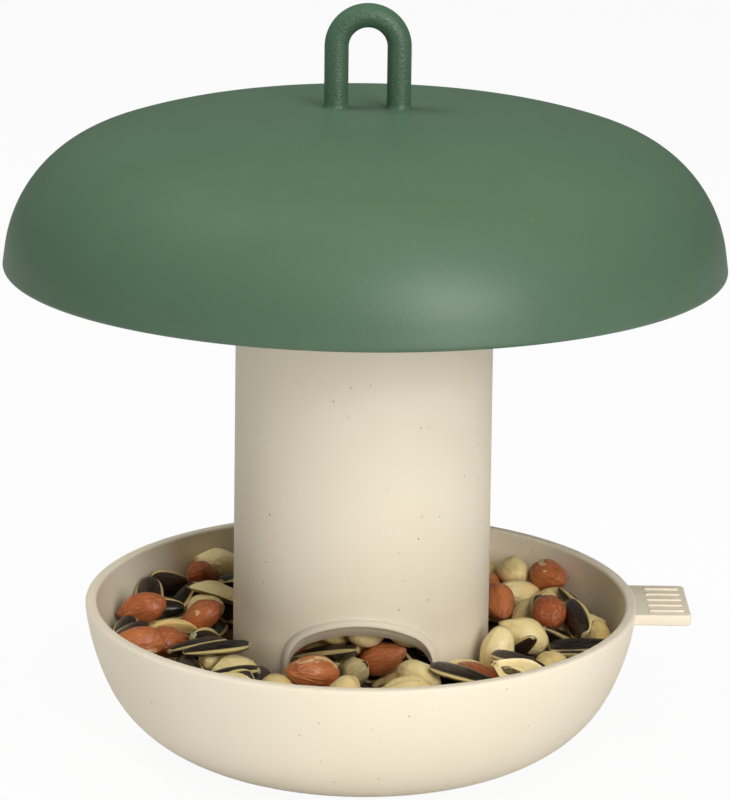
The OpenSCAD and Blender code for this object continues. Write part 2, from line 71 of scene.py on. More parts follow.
# %% [markdown]
# ## Camera
# The photograph was taken from a little above the roof with a long lens, so the lines hardly converge.
# The place and the lens come from the known circles of the roof, the tube and the bowl. A tiny roll is kept,
# because the feeder leans by less than one degree in the picture.

# %% Camera
PHOTO_HEIGHT = 800
FOCAL_PIXELS = 3299.6
CAMERA_PLACE = Vector((0.41, -955.6, 369.0)) * MM
CAMERA_PITCH = 15.342
CAMERA_ROLL = 0.743

camera_data = bpy.data.cameras.new("camera")
camera_data.sensor_width = 36
camera_data.lens = FOCAL_PIXELS / PHOTO_HEIGHT * camera_data.sensor_width
camera_data.clip_end = 30
camera = bpy.data.objects.new("camera", camera_data)
scene.collection.objects.link(camera)
camera.matrix_world = (
    Matrix.Translation(CAMERA_PLACE)
    @ Matrix.Rotation(math.radians(90 - CAMERA_PITCH), 4, "X")
    @ Matrix.Rotation(math.radians(CAMERA_ROLL), 4, "Z")
)
scene.camera = camera
print("lens", round(camera_data.lens, 1), "mm")

# %% [markdown]
# ## A pen for sections
# The bowl, the tube and the roof are round, so each starts as a line in one half plane: X is the distance
# from the axis and Z the height. The pen puts down one vertex, then draws straight strokes with the extrude
# operator and arcs with the spin operator. The same spin operator then turns the whole line round the axis.
# A lathe modifier could do that too, but the operator leaves a plain mesh that can be cut and joined on.

# %% The pen
def pen_down(bm, x, z):
    """Starts a section at a point given in millimetres."""
    return bm.verts.new((x * MM, 0, z * MM))


def pen_line(bm, tip, x, z, steps=1):
    """Draws a straight stroke from the tip to a point, in one or more steps."""
    stroke = (Vector((x * MM, 0, z * MM)) - tip.co) / steps
    for _ in range(steps):
        tip = bmesh.ops.extrude_vert_indiv(bm, verts=[tip])["verts"][0]
        tip.co += stroke
    return tip


def pen_arc(bm, tip, centre, degrees, steps):
    """Draws an arc from the tip round a centre; positive angles turn from outwards to upwards."""
    turned = bmesh.ops.spin(
        bm, geom=[tip], cent=(centre[0] * MM, 0, centre[1] * MM), axis=(0, -1, 0),
        angle=math.radians(degrees), steps=steps,
    )
    return turned["geom_last"][0]


def revolve(bm, steps):
    """Turns everything drawn so far round the Z axis and closes the seam and the poles."""
    bmesh.ops.spin(
        bm, geom=bm.verts[:] + bm.edges[:], cent=(0, 0, 0), axis=(0, 0, 1),
        angle=2 * math.pi, steps=steps, use_merge=True,
    )
    bmesh.ops.remove_doubles(bm, verts=bm.verts[:], dist=0.002 * MM)
    bmesh.ops.recalc_face_normals(bm, faces=bm.faces[:])


# %% From bmesh to a piece of the feeder
def as_mesh(bm, name):
    """Turns a bmesh into a mesh and frees it."""
    mesh = bpy.data.meshes.new(name)
    bm.to_mesh(mesh)
    bm.free()
    return mesh


def join_on(bm, mesh):
    """Adds a mesh to a bmesh and removes the loose mesh."""
    bm.from_mesh(mesh)
    bpy.data.meshes.remove(mesh)


def piece(bm, name, body, material, replaces=(), sharp=40):
    """Makes the object, lets it ride on its body and prints how large it is."""
    mesh = as_mesh(bm, name)
    mesh.shade_smooth()
    mesh.set_sharp_from_angle(angle=math.radians(sharp))
    mesh.materials.append(material)
    made = bpy.data.objects.new(name, mesh)
    scene.collection.objects.link(made)
    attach(made, body)
    if replaces:
        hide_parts(*replaces)
    open_edges = sum(1 for count in edge_uses(mesh).values() if count != 2)
    print(name, len(mesh.polygons), "faces,", open_edges, "open edges,",
          [round(side / MM, 1) for side in made.dimensions], "mm")
    return made


def edge_uses(mesh):
    """Counts how many faces meet at each edge; two everywhere means that the skin is closed."""
    uses = {}
    for polygon in mesh.polygons:
        for key in polygon.edge_keys:
            uses[key] = uses.get(key, 0) + 1
    return uses


# %% [markdown]
# ## Tools for materials
# Every finish is built from nodes. A small helper adds a node and fills or links its inputs, two more work
# out a sum and mix two colours, and effects that several finishes share are node groups, so that each finish
# only sets its own values on the group.

# %% Node helpers
def node(tree, kind, inputs=None, **settings):
    """Adds a node; an input is a number or colour, or an output of another node to link."""
    made = tree.nodes.new(kind)
    for key, value in settings.items():
        setattr(made, key, value)
    for key, value in (inputs or {}).items():
        if isinstance(value, bpy.types.NodeSocket):
            tree.links.new(value, made.inputs[key])
        else:
            made.inputs[key].default_value = value
    return made


def calculate(tree, operation, *values):
    """Works out one operation on numbers or outputs of nodes, and returns the result's output."""
    return node(tree, "ShaderNodeMath", dict(enumerate(values)), operation=operation).outputs[0]


def mix_colours(tree, share, first, second):
    """Mixes two colours; a share of 1 gives the second one."""
    return node(tree, "ShaderNodeMix", {0: share, 6: first, 7: second}, data_type="RGBA").outputs[2]


def new_group(name, inputs, outputs):
    """Starts a node group with named sockets and returns it with its input and output node."""
    group = bpy.data.node_groups.new(name, "ShaderNodeTree")
    for title, (kind, value) in inputs.items():
        made = group.interface.new_socket(name=title, in_out="INPUT", socket_type=kind)
        made.default_value = value
    for title, kind in outputs.items():
        group.interface.new_socket(name=title, in_out="OUTPUT", socket_type=kind)
    return group, group.nodes.new("NodeGroupInput"), group.nodes.new("NodeGroupOutput")


def place_group(tree, group, inputs):
    """Places a group in a material with its own values."""
    return node(tree, "ShaderNodeGroup", inputs, node_tree=group)


def new_material(name, viewport):
    """Starts a material with an empty node tree and returns it with its Principled shader."""
    material = bpy.data.materials.new(name)
    material.use_nodes = True
    material.diffuse_color = viewport
    tree = material.node_tree
    tree.nodes.clear()
    shader = node(tree, "ShaderNodeBsdfPrincipled")
    node(tree, "ShaderNodeOutputMaterial", {"Surface": shader.outputs[0]})
    return material, tree, shader


def tone(red, green, blue, alpha=1.0):
    """A colour given as it looks on screen, 0 to 255, turned into the light values that shaders use."""
    def linear(level):
        level /= 255
        return level / 12.92 if level <= 0.04045 else ((level + 0.055) / 1.055) ** 2.4
    return (linear(red), linear(green), linear(blue), alpha)


FLOAT = "NodeSocketFloat"

# %% [markdown]
# ## The composite
# Both the green and the cream parts are moulded from the same kind of composite. Close up it has a fine
# pebbled grain that breaks the highlight into sparkles, a faint cloudiness in its colour and now and then a
# dark fleck of fibre. Real displacement of grain under a millimetre would need millions of faces, so the
# grain is a bump, and its pits are painted a little darker as painted shade. The flecks are cells of a
# Voronoi texture: only a share of the cells shows one, and noise pushes the cells about so that the flecks
# come out as short fibres and not as dots. On the loop the flecks are pale and dense: painted glints that
# stand in for the sparkle of light on its grain.

# %% Group: moulded grain
grain_group, source, sink = new_group(
    "moulded_grain",
    {"Grain Size": (FLOAT, 0.8 * MM), "Waviness": (FLOAT, 0.25)},
    {"Height": FLOAT, "Pits": FLOAT},
)
place = node(grain_group, "ShaderNodeTexCoord")
fineness = calculate(grain_group, "DIVIDE", 1.0, source.outputs["Grain Size"])
pebbles = node(grain_group, "ShaderNodeTexNoise", {
    "Vector": place.outputs["Object"], "Scale": fineness, "Detail": 2.5, "Roughness": 0.55,
    "Distortion": 0.6})
waves = node(grain_group, "ShaderNodeTexNoise", {
    "Vector": place.outputs["Object"], "Scale": 60.0, "Detail": 1.0, "Roughness": 0.5})
swell = calculate(grain_group, "MULTIPLY", waves.outputs[0], source.outputs["Waviness"])
height = calculate(grain_group, "ADD", pebbles.outputs[0], swell)
pits = node(grain_group, "ShaderNodeMapRange", {
    "Value": pebbles.outputs[0], "From Min": 0.62, "From Max": 0.42, "To Min": 0.0, "To Max": 1.0})
grain_group.links.new(height, sink.inputs["Height"])
grain_group.links.new(pits.outputs[0], sink.inputs["Pits"])

# %% Group: fibre flecks, which on the loop are painted glints
fleck_and_glint_group, source, sink = new_group(
    "fibre_flecks_and_glints",
    {"Spacing": (FLOAT, 4.2 * MM), "Radius": (FLOAT, 0.07), "Share": (FLOAT, 0.8), "Length": (FLOAT, 1.6)},
    {"Mask": FLOAT},
)
place = node(fleck_and_glint_group, "ShaderNodeTexCoord")
bend = node(fleck_and_glint_group, "ShaderNodeTexNoise",
            {"Vector": place.outputs["Object"], "Scale": 900.0, "Detail": 1.0})
bend_shift = node(fleck_and_glint_group, "ShaderNodeVectorMath",
                  {0: bend.outputs["Color"], 1: (0.5, 0.5, 0.5)}, operation="SUBTRACT")
bend_scaled = node(fleck_and_glint_group, "ShaderNodeVectorMath",
                   {0: bend_shift.outputs[0], "Scale": 0.9 * MM}, operation="SCALE")
bent = node(fleck_and_glint_group, "ShaderNodeVectorMath",
            {0: place.outputs["Object"], 1: bend_scaled.outputs[0]}, operation="ADD")
turned = node(fleck_and_glint_group, "ShaderNodeMapping",
              {"Vector": bent.outputs[0], "Rotation": (0.4, 0.7, 0.2)}, vector_type="POINT")
stretch = node(fleck_and_glint_group, "ShaderNodeCombineXYZ", {0: 1.0, 1: 1.0, 2: source.outputs["Length"]})
stretched = node(fleck_and_glint_group, "ShaderNodeVectorMath",
                 {0: turned.outputs[0], 1: stretch.outputs[0]}, operation="DIVIDE")
density = calculate(fleck_and_glint_group, "DIVIDE", 1.0, source.outputs["Spacing"])
cells = node(fleck_and_glint_group, "ShaderNodeTexVoronoi",
             {"Vector": stretched.outputs[0], "Scale": density, "Randomness": 1.0})
chance = node(fleck_and_glint_group, "ShaderNodeSeparateColor", {0: cells.outputs["Color"]})
near = calculate(fleck_and_glint_group, "LESS_THAN", cells.outputs["Distance"], source.outputs["Radius"])
picked = calculate(fleck_and_glint_group, "LESS_THAN", chance.outputs[0], source.outputs["Share"])
spot = calculate(fleck_and_glint_group, "MULTIPLY", near, picked)
depth = node(fleck_and_glint_group, "ShaderNodeMapRange", {"Value": chance.outputs[1], "To Min": 0.2, "To Max": 1.0})
mask = calculate(fleck_and_glint_group, "MULTIPLY", spot, depth.outputs[0])
fleck_and_glint_group.links.new(mask, sink.inputs["Mask"])
print("groups:", [g.name for g in bpy.data.node_groups])


# %% Finish: green and cream composite
PIT_SHADE = 0.10


def composite(name, light, dark, fleck_and_glint, fleck_and_glint_strength, spacing, grain_size, grain_depth, roughness):
    """Moulded composite: cloudy colour between two tones, flecks, a pebbled grain and painted shade in its pits.
    """
    material, tree, shader = new_material(name, light)
    spot = node(tree, "ShaderNodeTexCoord")
    cloud = node(tree, "ShaderNodeTexNoise",
                 {"Vector": spot.outputs["Object"], "Scale": 28.0, "Detail": 4.0, "Roughness": 0.6})
    grain = place_group(tree, grain_group, {"Grain Size": grain_size})
    flecks = place_group(tree, fleck_and_glint_group, {"Spacing": spacing, "Share": 0.85})
    # The pits of the grain are painted darker by a tenth: painted shade.
    painted_pit_shade = calculate(tree, "MULTIPLY", grain.outputs["Pits"], PIT_SHADE)
    fleck_and_glint_share = calculate(tree, "MULTIPLY", flecks.outputs[0], fleck_and_glint_strength)
    colour = mix_colours(tree, cloud.outputs[0], dark, light)
    colour = mix_colours(tree, painted_pit_shade, colour, dark)
    colour = mix_colours(tree, fleck_and_glint_share, colour, fleck_and_glint)
    tree.links.new(colour, shader.inputs["Base Color"])
    shader.inputs["Roughness"].default_value = roughness
    bump = node(tree, "ShaderNodeBump",
                {"Height": grain.outputs["Height"], "Distance": grain_depth, "Strength": 1.0})
    tree.links.new(bump.outputs[0], shader.inputs["Normal"])
    return material


green = composite(
    "green_composite", light=tone(79, 105, 81), dark=tone(70, 96, 73), fleck_and_glint=tone(120, 140, 110),
    fleck_and_glint_strength=0.25, spacing=4.2 * MM, grain_size=0.9 * MM, grain_depth=0.05 * MM, roughness=0.43,
)
# The loop's finish is the green with a darker tone, as painted shade, and dense pale flecks that stand in for
# the sparkle of light on its grain, as painted glints.
coarse_green_painted_glints = composite(
    "coarse_green_painted_glints", light=tone(75, 103, 79), dark=tone(58, 86, 64), fleck_and_glint=tone(190, 208, 186),
    fleck_and_glint_strength=0.9, spacing=1.5 * MM, grain_size=0.8 * MM, grain_depth=0.24 * MM, roughness=0.4,
)
cream = composite(
    "cream_composite", light=tone(246, 235, 213), dark=tone(238, 226, 202), fleck_and_glint=tone(128, 104, 78),
    fleck_and_glint_strength=0.6, spacing=4.2 * MM, grain_size=0.7 * MM, grain_depth=0.02 * MM, roughness=0.55,
)
print("composite finishes:", green.name, coarse_green_painted_glints.name, cream.name)

# %% [markdown]
# ## Roof
# The roof is one shell, 3 mm thick. From the middle outwards its section has a nearly flat crown, a long
# haunch, a rounder shoulder and a short skirt with a rolled edge. A subdivided sphere would put its faces in
# the wrong places, so the shell is drawn as a closed section, outside and inside in one line, and revolved.
# The thick pad under the crown takes the loop.

# %% Roof section
ROOF_STEPS = 192
ROOF_R, ROOF_TOP, ROOF_WALL = 107.3, 195.6, 3.0
CROWN_TURN, HAUNCH_R, HAUNCH_TURN = math.radians(2.6), 139.0, math.radians(18.6)
SHOULDER_R, SKIRT, SKIRT_SLOPE, SKIRT_EDGE = 40.2, 6.2, math.radians(81.6), 1.2
PAD_R, PAD_T, PAD_EDGE = 17.5, 1.7, 0.4

down_skirt = Vector((math.cos(SKIRT_SLOPE), -math.sin(SKIRT_SLOPE)))
off_skirt = Vector((math.sin(SKIRT_SLOPE), math.cos(SKIRT_SLOPE)))
shoulder_x = ROOF_R - SKIRT * down_skirt.x - SHOULDER_R * off_skirt.x
haunch_x = shoulder_x - (HAUNCH_R - SHOULDER_R) * math.sin(HAUNCH_TURN)
CROWN_R = haunch_x / math.sin(CROWN_TURN) + HAUNCH_R
crown_centre = Vector((0, ROOF_TOP - CROWN_R))
haunch_centre = Vector((haunch_x, crown_centre.y + (CROWN_R - HAUNCH_R) * math.cos(CROWN_TURN)))
shoulder_centre = Vector((shoulder_x, haunch_centre.y + (HAUNCH_R - SHOULDER_R) * math.cos(HAUNCH_TURN)))
rim = shoulder_centre + SHOULDER_R * off_skirt + SKIRT * down_skirt


def roof_height(x):
    """Height of the roof's outer crown at a distance from the axis."""
    return ROOF_TOP - CROWN_R + math.sqrt(CROWN_R ** 2 - x ** 2)


bm = bmesh.new()
tip = pen_down(bm, 0, ROOF_TOP)
tip = pen_arc(bm, tip, crown_centre, -math.degrees(CROWN_TURN), 10)
tip = pen_arc(bm, tip, haunch_centre, -math.degrees(HAUNCH_TURN - CROWN_TURN), 12)
tip = pen_arc(bm, tip, shoulder_centre, -math.degrees(SKIRT_SLOPE - HAUNCH_TURN), 28)
outer_end = rim - SKIRT_EDGE * down_skirt
tip = pen_line(bm, tip, *outer_end, steps=3)
tip = pen_arc(bm, tip, outer_end - SKIRT_EDGE * off_skirt, -90, 6)
inner_end = rim - (ROOF_WALL - SKIRT_EDGE) * off_skirt
tip = pen_line(bm, tip, *inner_end)
tip = pen_arc(bm, tip, inner_end - SKIRT_EDGE * down_skirt, -90, 6)
inner_start = shoulder_centre + (SHOULDER_R - ROOF_WALL) * off_skirt
tip = pen_line(bm, tip, *inner_start, steps=3)
tip = pen_arc(bm, tip, shoulder_centre, math.degrees(SKIRT_SLOPE - HAUNCH_TURN), 28)
tip = pen_arc(bm, tip, haunch_centre, math.degrees(HAUNCH_TURN - CROWN_TURN), 12)
pad_turn = math.asin(PAD_R / (CROWN_R - ROOF_WALL))
tip = pen_arc(bm, tip, crown_centre, math.degrees(CROWN_TURN - pad_turn), 8)
pad_z = ROOF_TOP - ROOF_WALL - PAD_T
tip = pen_line(bm, tip, PAD_R, pad_z + PAD_EDGE)
tip = pen_line(bm, tip, PAD_R - PAD_EDGE, pad_z)
tip = pen_line(bm, tip, 0, pad_z, steps=3)
revolve(bm, ROOF_STEPS)

# %% [markdown]
# Three screw bosses stand under the shell and take the collar's screws. Each is a short tube, so it is drawn
# with the same pen, revolved round the axis and moved to its place.

# %% Screw bosses, and the roof as a piece
WEB_TOP, BOSS_R, BOSS_HOLE, SCREW_CIRCLE = 184.9, 5.0, 1.85, 28.0
boss_top = roof_height(SCREW_CIRCLE) - ROOF_WALL / 2
for turn in (90, 210, 330):
    boss = bmesh.new()
    tip = pen_down(boss, BOSS_HOLE, WEB_TOP)
    tip = pen_line(boss, tip, BOSS_R, WEB_TOP)
    tip = pen_line(boss, tip, BOSS_R, boss_top)
    tip = pen_line(boss, tip, BOSS_HOLE, boss_top)
    tip = pen_line(boss, tip, BOSS_HOLE, WEB_TOP)
    revolve(boss, 40)
    bmesh.ops.translate(boss, vec=(SCREW_CIRCLE * MM, 0, 0), verts=boss.verts[:])
    turned = Matrix.Rotation(math.radians(turn), 3, "Z")
    bmesh.ops.rotate(boss, cent=(0, 0, 0), matrix=turned, verts=boss.verts[:])
    join_on(bm, as_mesh(boss, "boss"))
piece(bm, "roof", "roof", green, replaces=["roof_shell"])

# %% [markdown]
# ## Hanging loop
# The loop is one round rod, bent over into a bow, and its two legs end in small flared feet on the roof.
# A bevelled curve would give the rod, but not the feet. Here a circle is the foot: it is extruded up the leg
# with a new size at each step of the flare, then spun over half of the bow, and a mirror makes the rest.

# %% Loop
ROD_R, LOOP_R, LOOP_TOP = 3.55, 9.2, 226.5
FOOT_R, FOOT_T, FOOT_FLARE, FOOT_SINK = 4.3, 0.6, 1.6, 0.4
FOOT_EDGE, FOOT_CUT, FOOT_STEP = 0.25, 0.08, 0.2
LEG_RINGS = (5, 9)
LOOP_Z = LOOP_TOP - LOOP_R - ROD_R
SEAT_Z = roof_height(LOOP_R + FOOT_R) - FOOT_SINK
foot_top = SEAT_Z + FOOT_T

bm = bmesh.new()
ring = bmesh.ops.create_circle(bm, cap_ends=True, segments=48, radius=FOOT_R * MM,
                               matrix=Matrix.Translation((-LOOP_R * MM, 0, SEAT_Z * MM)))["verts"]
edges = [edge for edge in bm.edges if edge.is_boundary]
reach = FOOT_R
levels = [(FOOT_R, foot_top - FOOT_EDGE), (FOOT_R - FOOT_CUT, foot_top - FOOT_CUT)]
for angle in range(5, 95, 10):
    bow_in = math.radians(angle)
    levels.append((ROD_R + (FOOT_R - ROD_R - FOOT_STEP) * (1 - math.sin(bow_in)),
                   foot_top + FOOT_FLARE * (1 - math.cos(bow_in))))
levels += [(ROD_R, SEAT_Z + rise) for rise in LEG_RINGS]
levels.append((ROD_R, LOOP_Z))
for radius, z in levels:
    new = bmesh.ops.extrude_edge_only(bm, edges=edges)["geom"]
    ring = [item for item in new if isinstance(item, bmesh.types.BMVert)]
    edges = [item for item in new if isinstance(item, bmesh.types.BMEdge)]
    bmesh.ops.scale(bm, vec=(radius / reach, radius / reach, 1), verts=ring,
                    space=Matrix.Translation((LOOP_R * MM, 0, 0)))
    for vert in ring:
        vert.co.z = z * MM
    reach = radius
bmesh.ops.spin(bm, geom=ring + edges, cent=(0, 0, LOOP_Z * MM), axis=(0, 1, 0), angle=math.pi / 2, steps=20)
bmesh.ops.mirror(bm, geom=bm.verts[:] + bm.edges[:] + bm.faces[:], axis="X", merge_dist=0.01 * MM)
bmesh.ops.recalc_face_normals(bm, faces=bm.faces[:])
piece(bm, "loop", "roof", coarse_green_painted_glints, replaces=["hanging_loop"])

# %% [markdown]
# ## Silo tube
# The tube tapers a little. At the front and the back an arched port is cut at its foot, with a rounded lip
# that stands proud of the tube and a ceiling that slopes down inwards, so that the rain drips off outside.
# A boolean cut would leave long thin faces on the round wall, and they would show in its soft highlight.
# Instead the wall gets a rectangular window that follows its own grid. The arch is drawn with the pen and
# pulled, one extrusion after another, from the window's edge over the lip, under the ceiling and back out to
# the window on the inner wall. Every stage keeps the same number of vertices, so all faces are clean quads.

# %% Tube: sizes and wall
TUBE_STEPS = 192
TUBE_R, TUBE_DRAFT, TUBE_WALL, TUBE_LOW, TUBE_TOP = 39.2, 0.006, 3.2, 3.8, 179.0
WINDOW_TURN, WINDOW_TOP, WINDOW_ROWS = 45, 62.0, 12
WINDOW_COLUMNS = TUBE_STEPS * WINDOW_TURN // 180
TUBE_EDGE, INNER_RINGS = 0.5, [90, 130]


def tube_out(z):
    """Outer radius of the tube at a height."""
    return TUBE_R - TUBE_DRAFT * (z - TUBE_LOW)


bm = bmesh.new()
window_z = [TUBE_LOW + row * (WINDOW_TOP - TUBE_LOW) / WINDOW_ROWS for row in range(WINDOW_ROWS + 1)]
first = tip = pen_down(bm, TUBE_R - TUBE_WALL, TUBE_LOW)
for z in window_z[1:] + INNER_RINGS + [TUBE_TOP - TUBE_EDGE]:
    tip = pen_line(bm, tip, tube_out(z) - TUBE_WALL, z)
inner_x, outer_x = tube_out(TUBE_TOP) - TUBE_WALL, tube_out(TUBE_TOP)
tip = pen_arc(bm, tip, (inner_x + TUBE_EDGE, TUBE_TOP - TUBE_EDGE), -90, 4)
tip = pen_line(bm, tip, outer_x - TUBE_EDGE, TUBE_TOP)
tip = pen_arc(bm, tip, (outer_x - TUBE_EDGE, TUBE_TOP - TUBE_EDGE), -90, 4)
for z in reversed(window_z):
    tip = pen_line(bm, tip, tube_out(z), z)
bm.edges.new((tip, first))
revolve(bm, TUBE_STEPS)

in_window = []
for face in bm.faces:
    centre = face.calc_center_median()
    turn = math.degrees(math.atan2(centre.x, abs(centre.y)))
    if abs(turn) < WINDOW_TURN and centre.z < WINDOW_TOP * MM:
        in_window.append(face)
bmesh.ops.delete(bm, geom=in_window, context="FACES")
print("tube wall", len(bm.faces), "faces, window faces removed", len(in_window))

# %% [markdown]
# The arch is a flat crown arc between two rounder shoulders on straight legs. Its normals are measured once,
# so that every stage is the same arch, moved out by a margin and laid on a cylinder of its own radius.

# %% Tube: the arch
PORT_HALF, PORT_TOP, PORT_CROWN, PORT_SHOULDER = 21.5, 48.8, 31.0, 12.0
LIP_W, LIP_H, LIP_BLEND, CEILING_DROP = 1.9, 1.5, 0.35, 4.2
# Margin and rise of the points on the lip's rounded section
LIP_SECTION = ((1.98, 0.08), (1.84, 0.4), (1.74, 0.8), (1.5, 1.18), (1.16, 1.4), (0.8, 1.5), (0.3, 1.5),
               (0.1, 1.42), (0.02, 1.2))
LEG_STEPS, SHOULDER_STEPS, CROWN_STEPS = 10, 12, 28

side_x = PORT_HALF - PORT_SHOULDER
crown_low = PORT_TOP - PORT_CROWN
side_z = crown_low + math.sqrt((PORT_CROWN - PORT_SHOULDER) ** 2 - side_x ** 2)
side_turn = math.degrees(math.atan2(side_z - crown_low, side_x))

arch = bmesh.new()
tip = pen_down(arch, -PORT_HALF, TUBE_LOW)
tip = pen_line(arch, tip, -PORT_HALF, side_z, steps=LEG_STEPS)
tip = pen_arc(arch, tip, (-side_x, side_z), -side_turn, SHOULDER_STEPS)
tip = pen_arc(arch, tip, (0, crown_low), -(180 - 2 * side_turn), CROWN_STEPS)
tip = pen_arc(arch, tip, (side_x, side_z), -side_turn, SHOULDER_STEPS)
tip = pen_line(arch, tip, PORT_HALF, TUBE_LOW, steps=LEG_STEPS)
arch.verts.index_update()
line = [vert.co.xz / MM for vert in arch.verts]
normals = []
for i, point in enumerate(line):
    along = (line[min(i + 1, len(line) - 1)] - line[max(i - 1, 0)]).normalized()
    normals.append(Vector((-along.y, along.x)))
print("arch of", len(line), "points, crown at", round(max(p.y for p in line), 1), "mm")


# %% Tube: stages from the window over the lip to the inner wall
def window_edge(inset):
    """Turn and height of the points on the window's edge, in the order of the arch."""
    turns = [-WINDOW_TURN + 2 * WINDOW_TURN * i / WINDOW_COLUMNS for i in range(WINDOW_COLUMNS + 1)]
    left = [(-WINDOW_TURN, z) for z in window_z[:-1]]
    right = [(WINDOW_TURN, z) for z in reversed(window_z[:-1])]
    top = [(turn, WINDOW_TOP) for turn in turns]
    return [(turn, z, tube_out(z) - inset) for turn, z in left + top + right]


def arch_stage(margin, rise, drop=0.0, inset=0.0):
    """Turn, height and radius of the arch moved out by a margin and raised, or let down inside."""
    points = []
    for point, normal in zip(line, normals):
        x, z = point + margin * normal
        share = min((z - TUBE_LOW) / (side_z - TUBE_LOW), 1)
        z -= drop * share
        radius = tube_out(z) + rise - inset
        points.append((math.degrees(math.asin(x / radius)), z, radius))
    return points


def between(first, last, share):
    """A stage part of the way between two others."""
    return [tuple(a + (b - a) * share for a, b in zip(p, q)) for p, q in zip(first, last)]


outer_foot = arch_stage(LIP_W + LIP_BLEND, 0)
inner_edge = arch_stage(0, 0, CEILING_DROP, TUBE_WALL)
stages = [between(window_edge(0), outer_foot, share) for share in (0, 0.3, 0.6, 0.85)] + [outer_foot]
stages += [arch_stage(margin, rise) for margin, rise in LIP_SECTION]
stages += [arch_stage(0, 0.2, CEILING_DROP * 0.3), arch_stage(0, 0, CEILING_DROP * 0.66, TUBE_WALL * 0.45),
           arch_stage(0, 0, CEILING_DROP * 0.95, TUBE_WALL * 0.92), inner_edge]
stages += [between(inner_edge, window_edge(TUBE_WALL), share) for share in (0.2, 0.5, 0.8, 1)]

order = arch.verts.layers.int.new("order")
for i, vert in enumerate(arch.verts):
    vert[order] = i


def lay(verts, stage):
    """Puts every vertex of the line on its point of a stage."""
    for vert in verts:
        turn, z, radius = stage[vert[order]]
        turn = math.radians(turn)
        vert.co = Vector((radius * math.sin(turn), -radius * math.cos(turn), z)) * MM


lay(arch.verts, stages[0])
edges = arch.edges[:]
for stage in stages[1:]:
    new = bmesh.ops.extrude_edge_only(arch, edges=edges)["geom"]
    edges = [item for item in new if isinstance(item, bmesh.types.BMEdge)]
    lay([item for item in new if isinstance(item, bmesh.types.BMVert)], stage)
port = as_mesh(arch, "port")

# %% [markdown]
# The port goes into the wall twice. Its outer and inner border lie exactly on the window's corners, so
# merging doubles sews it in, and the flat feet of the legs are then the only holes left to fill.

# %% Tube: sew the ports in
for turn in (0, 180):
    port.transform(Matrix.Rotation(math.radians(turn), 4, "Z"))
    bm.from_mesh(port)
bpy.data.meshes.remove(port)
bmesh.ops.remove_doubles(bm, verts=bm.verts[:], dist=0.01 * MM)
bmesh.ops.holes_fill(bm, edges=[edge for edge in bm.edges if edge.is_boundary], sides=0)
bmesh.ops.recalc_face_normals(bm, faces=bm.faces[:])
print("tube with ports", len(bm.faces), "faces, open edges", sum(1 for e in bm.edges if e.is_boundary))

# %% [markdown]
# Lugs lock the tube in the bowl and in the roof's collar, like a bayonet. Each lug is a small rectangle
# of the section, spun through its angle. In the bowl a rib joins two lugs, which grip the flange between
# them, and in the collar each lug has a rib under it that stops the turn.

# %% Tube: lugs
LUG_ANGLE, LUG_DEPTH, LUG_BITE = 24, 2.6, 0.6
RIB_ANGLE, RIB_GAP, RIB_SHIFT = 4, 0.35, 0.3
LOWER_LUG_Z, LOWER_RIB_Z, UPPER_LUG_Z = (4.3, 8.3), (7.7, 12.5), (11.9, 14.7)
COLLAR_REACH, COLLAR_LUG_Z, COLLAR_RIB_Z = 17.6, (3.9, 7.9), (0.6, 4.5)


def sector(x, z, start, end):
    """A block between two radii and two heights that spans an angle, as a mesh ready to be joined on."""
    block = bmesh.new()
    corners = [pen_down(block, x[0], z[0])]
    for corner in ((x[1], z[0]), (x[1], z[1]), (x[0], z[1])):
        corners.append(pen_line(block, corners[-1], *corner))
    block.edges.new((corners[-1], corners[0]))
    turned = Matrix.Rotation(math.radians(start), 3, "Z")
    bmesh.ops.rotate(block, cent=(0, 0, 0), matrix=turned, verts=block.verts[:])
    bmesh.ops.spin(block, geom=block.verts[:] + block.edges[:], cent=(0, 0, 0), axis=(0, 0, 1),
                   angle=math.radians(end - start), steps=max(int((end - start) / 2), 1),
                   use_merge=end - start == 360)
    bmesh.ops.remove_doubles(block, verts=block.verts[:], dist=0.001 * MM)
    bmesh.ops.holes_fill(block, edges=[edge for edge in block.edges if edge.is_boundary], sides=0)
    bmesh.ops.recalc_face_normals(block, faces=block.faces[:])
    return as_mesh(block, "sector")


def shifted(pair, step):
    """Both ends of a stretch, moved by the same step."""
    return pair[0] + step, pair[1] + step


half = LUG_ANGLE / 2
rib = (half - RIB_ANGLE, half - RIB_GAP)
collar_low = TUBE_TOP - COLLAR_REACH
inside = (TUBE_R - TUBE_WALL - LUG_DEPTH, TUBE_R - TUBE_WALL + LUG_BITE)
outside = (tube_out(TUBE_TOP) - LUG_BITE, tube_out(collar_low) + LUG_DEPTH)
blocks = []
for middle in (0, 180):
    blocks += [(inside, LOWER_LUG_Z, middle - half, middle + half),
               (shifted(inside, RIB_SHIFT), LOWER_RIB_Z, middle + rib[0], middle + rib[1]),
               (inside, UPPER_LUG_Z, middle - half, middle + half)]
for middle in (90, 210, 330):
    blocks += [(outside, shifted(COLLAR_LUG_Z, collar_low), middle - half, middle + half),
               (shifted(outside, -RIB_SHIFT), shifted(COLLAR_RIB_Z, collar_low),
                middle - rib[1], middle - rib[0])]
for block in blocks:
    join_on(bm, sector(*block))
piece(bm, "silo", "silo", cream, sharp=42, replaces=["silo_tube"])

# %% [markdown]
# ## Bowl
# The bowl's wall leans in a little at the rim, turns into a round belly and stands on a flat foot. It is
# drawn as one closed section with both edges of the rim rounded, and revolved. The drain holes in the
# floor are small and lie in the flat part, so a boolean cut does no harm there. The ring on the floor
# carries the lock.

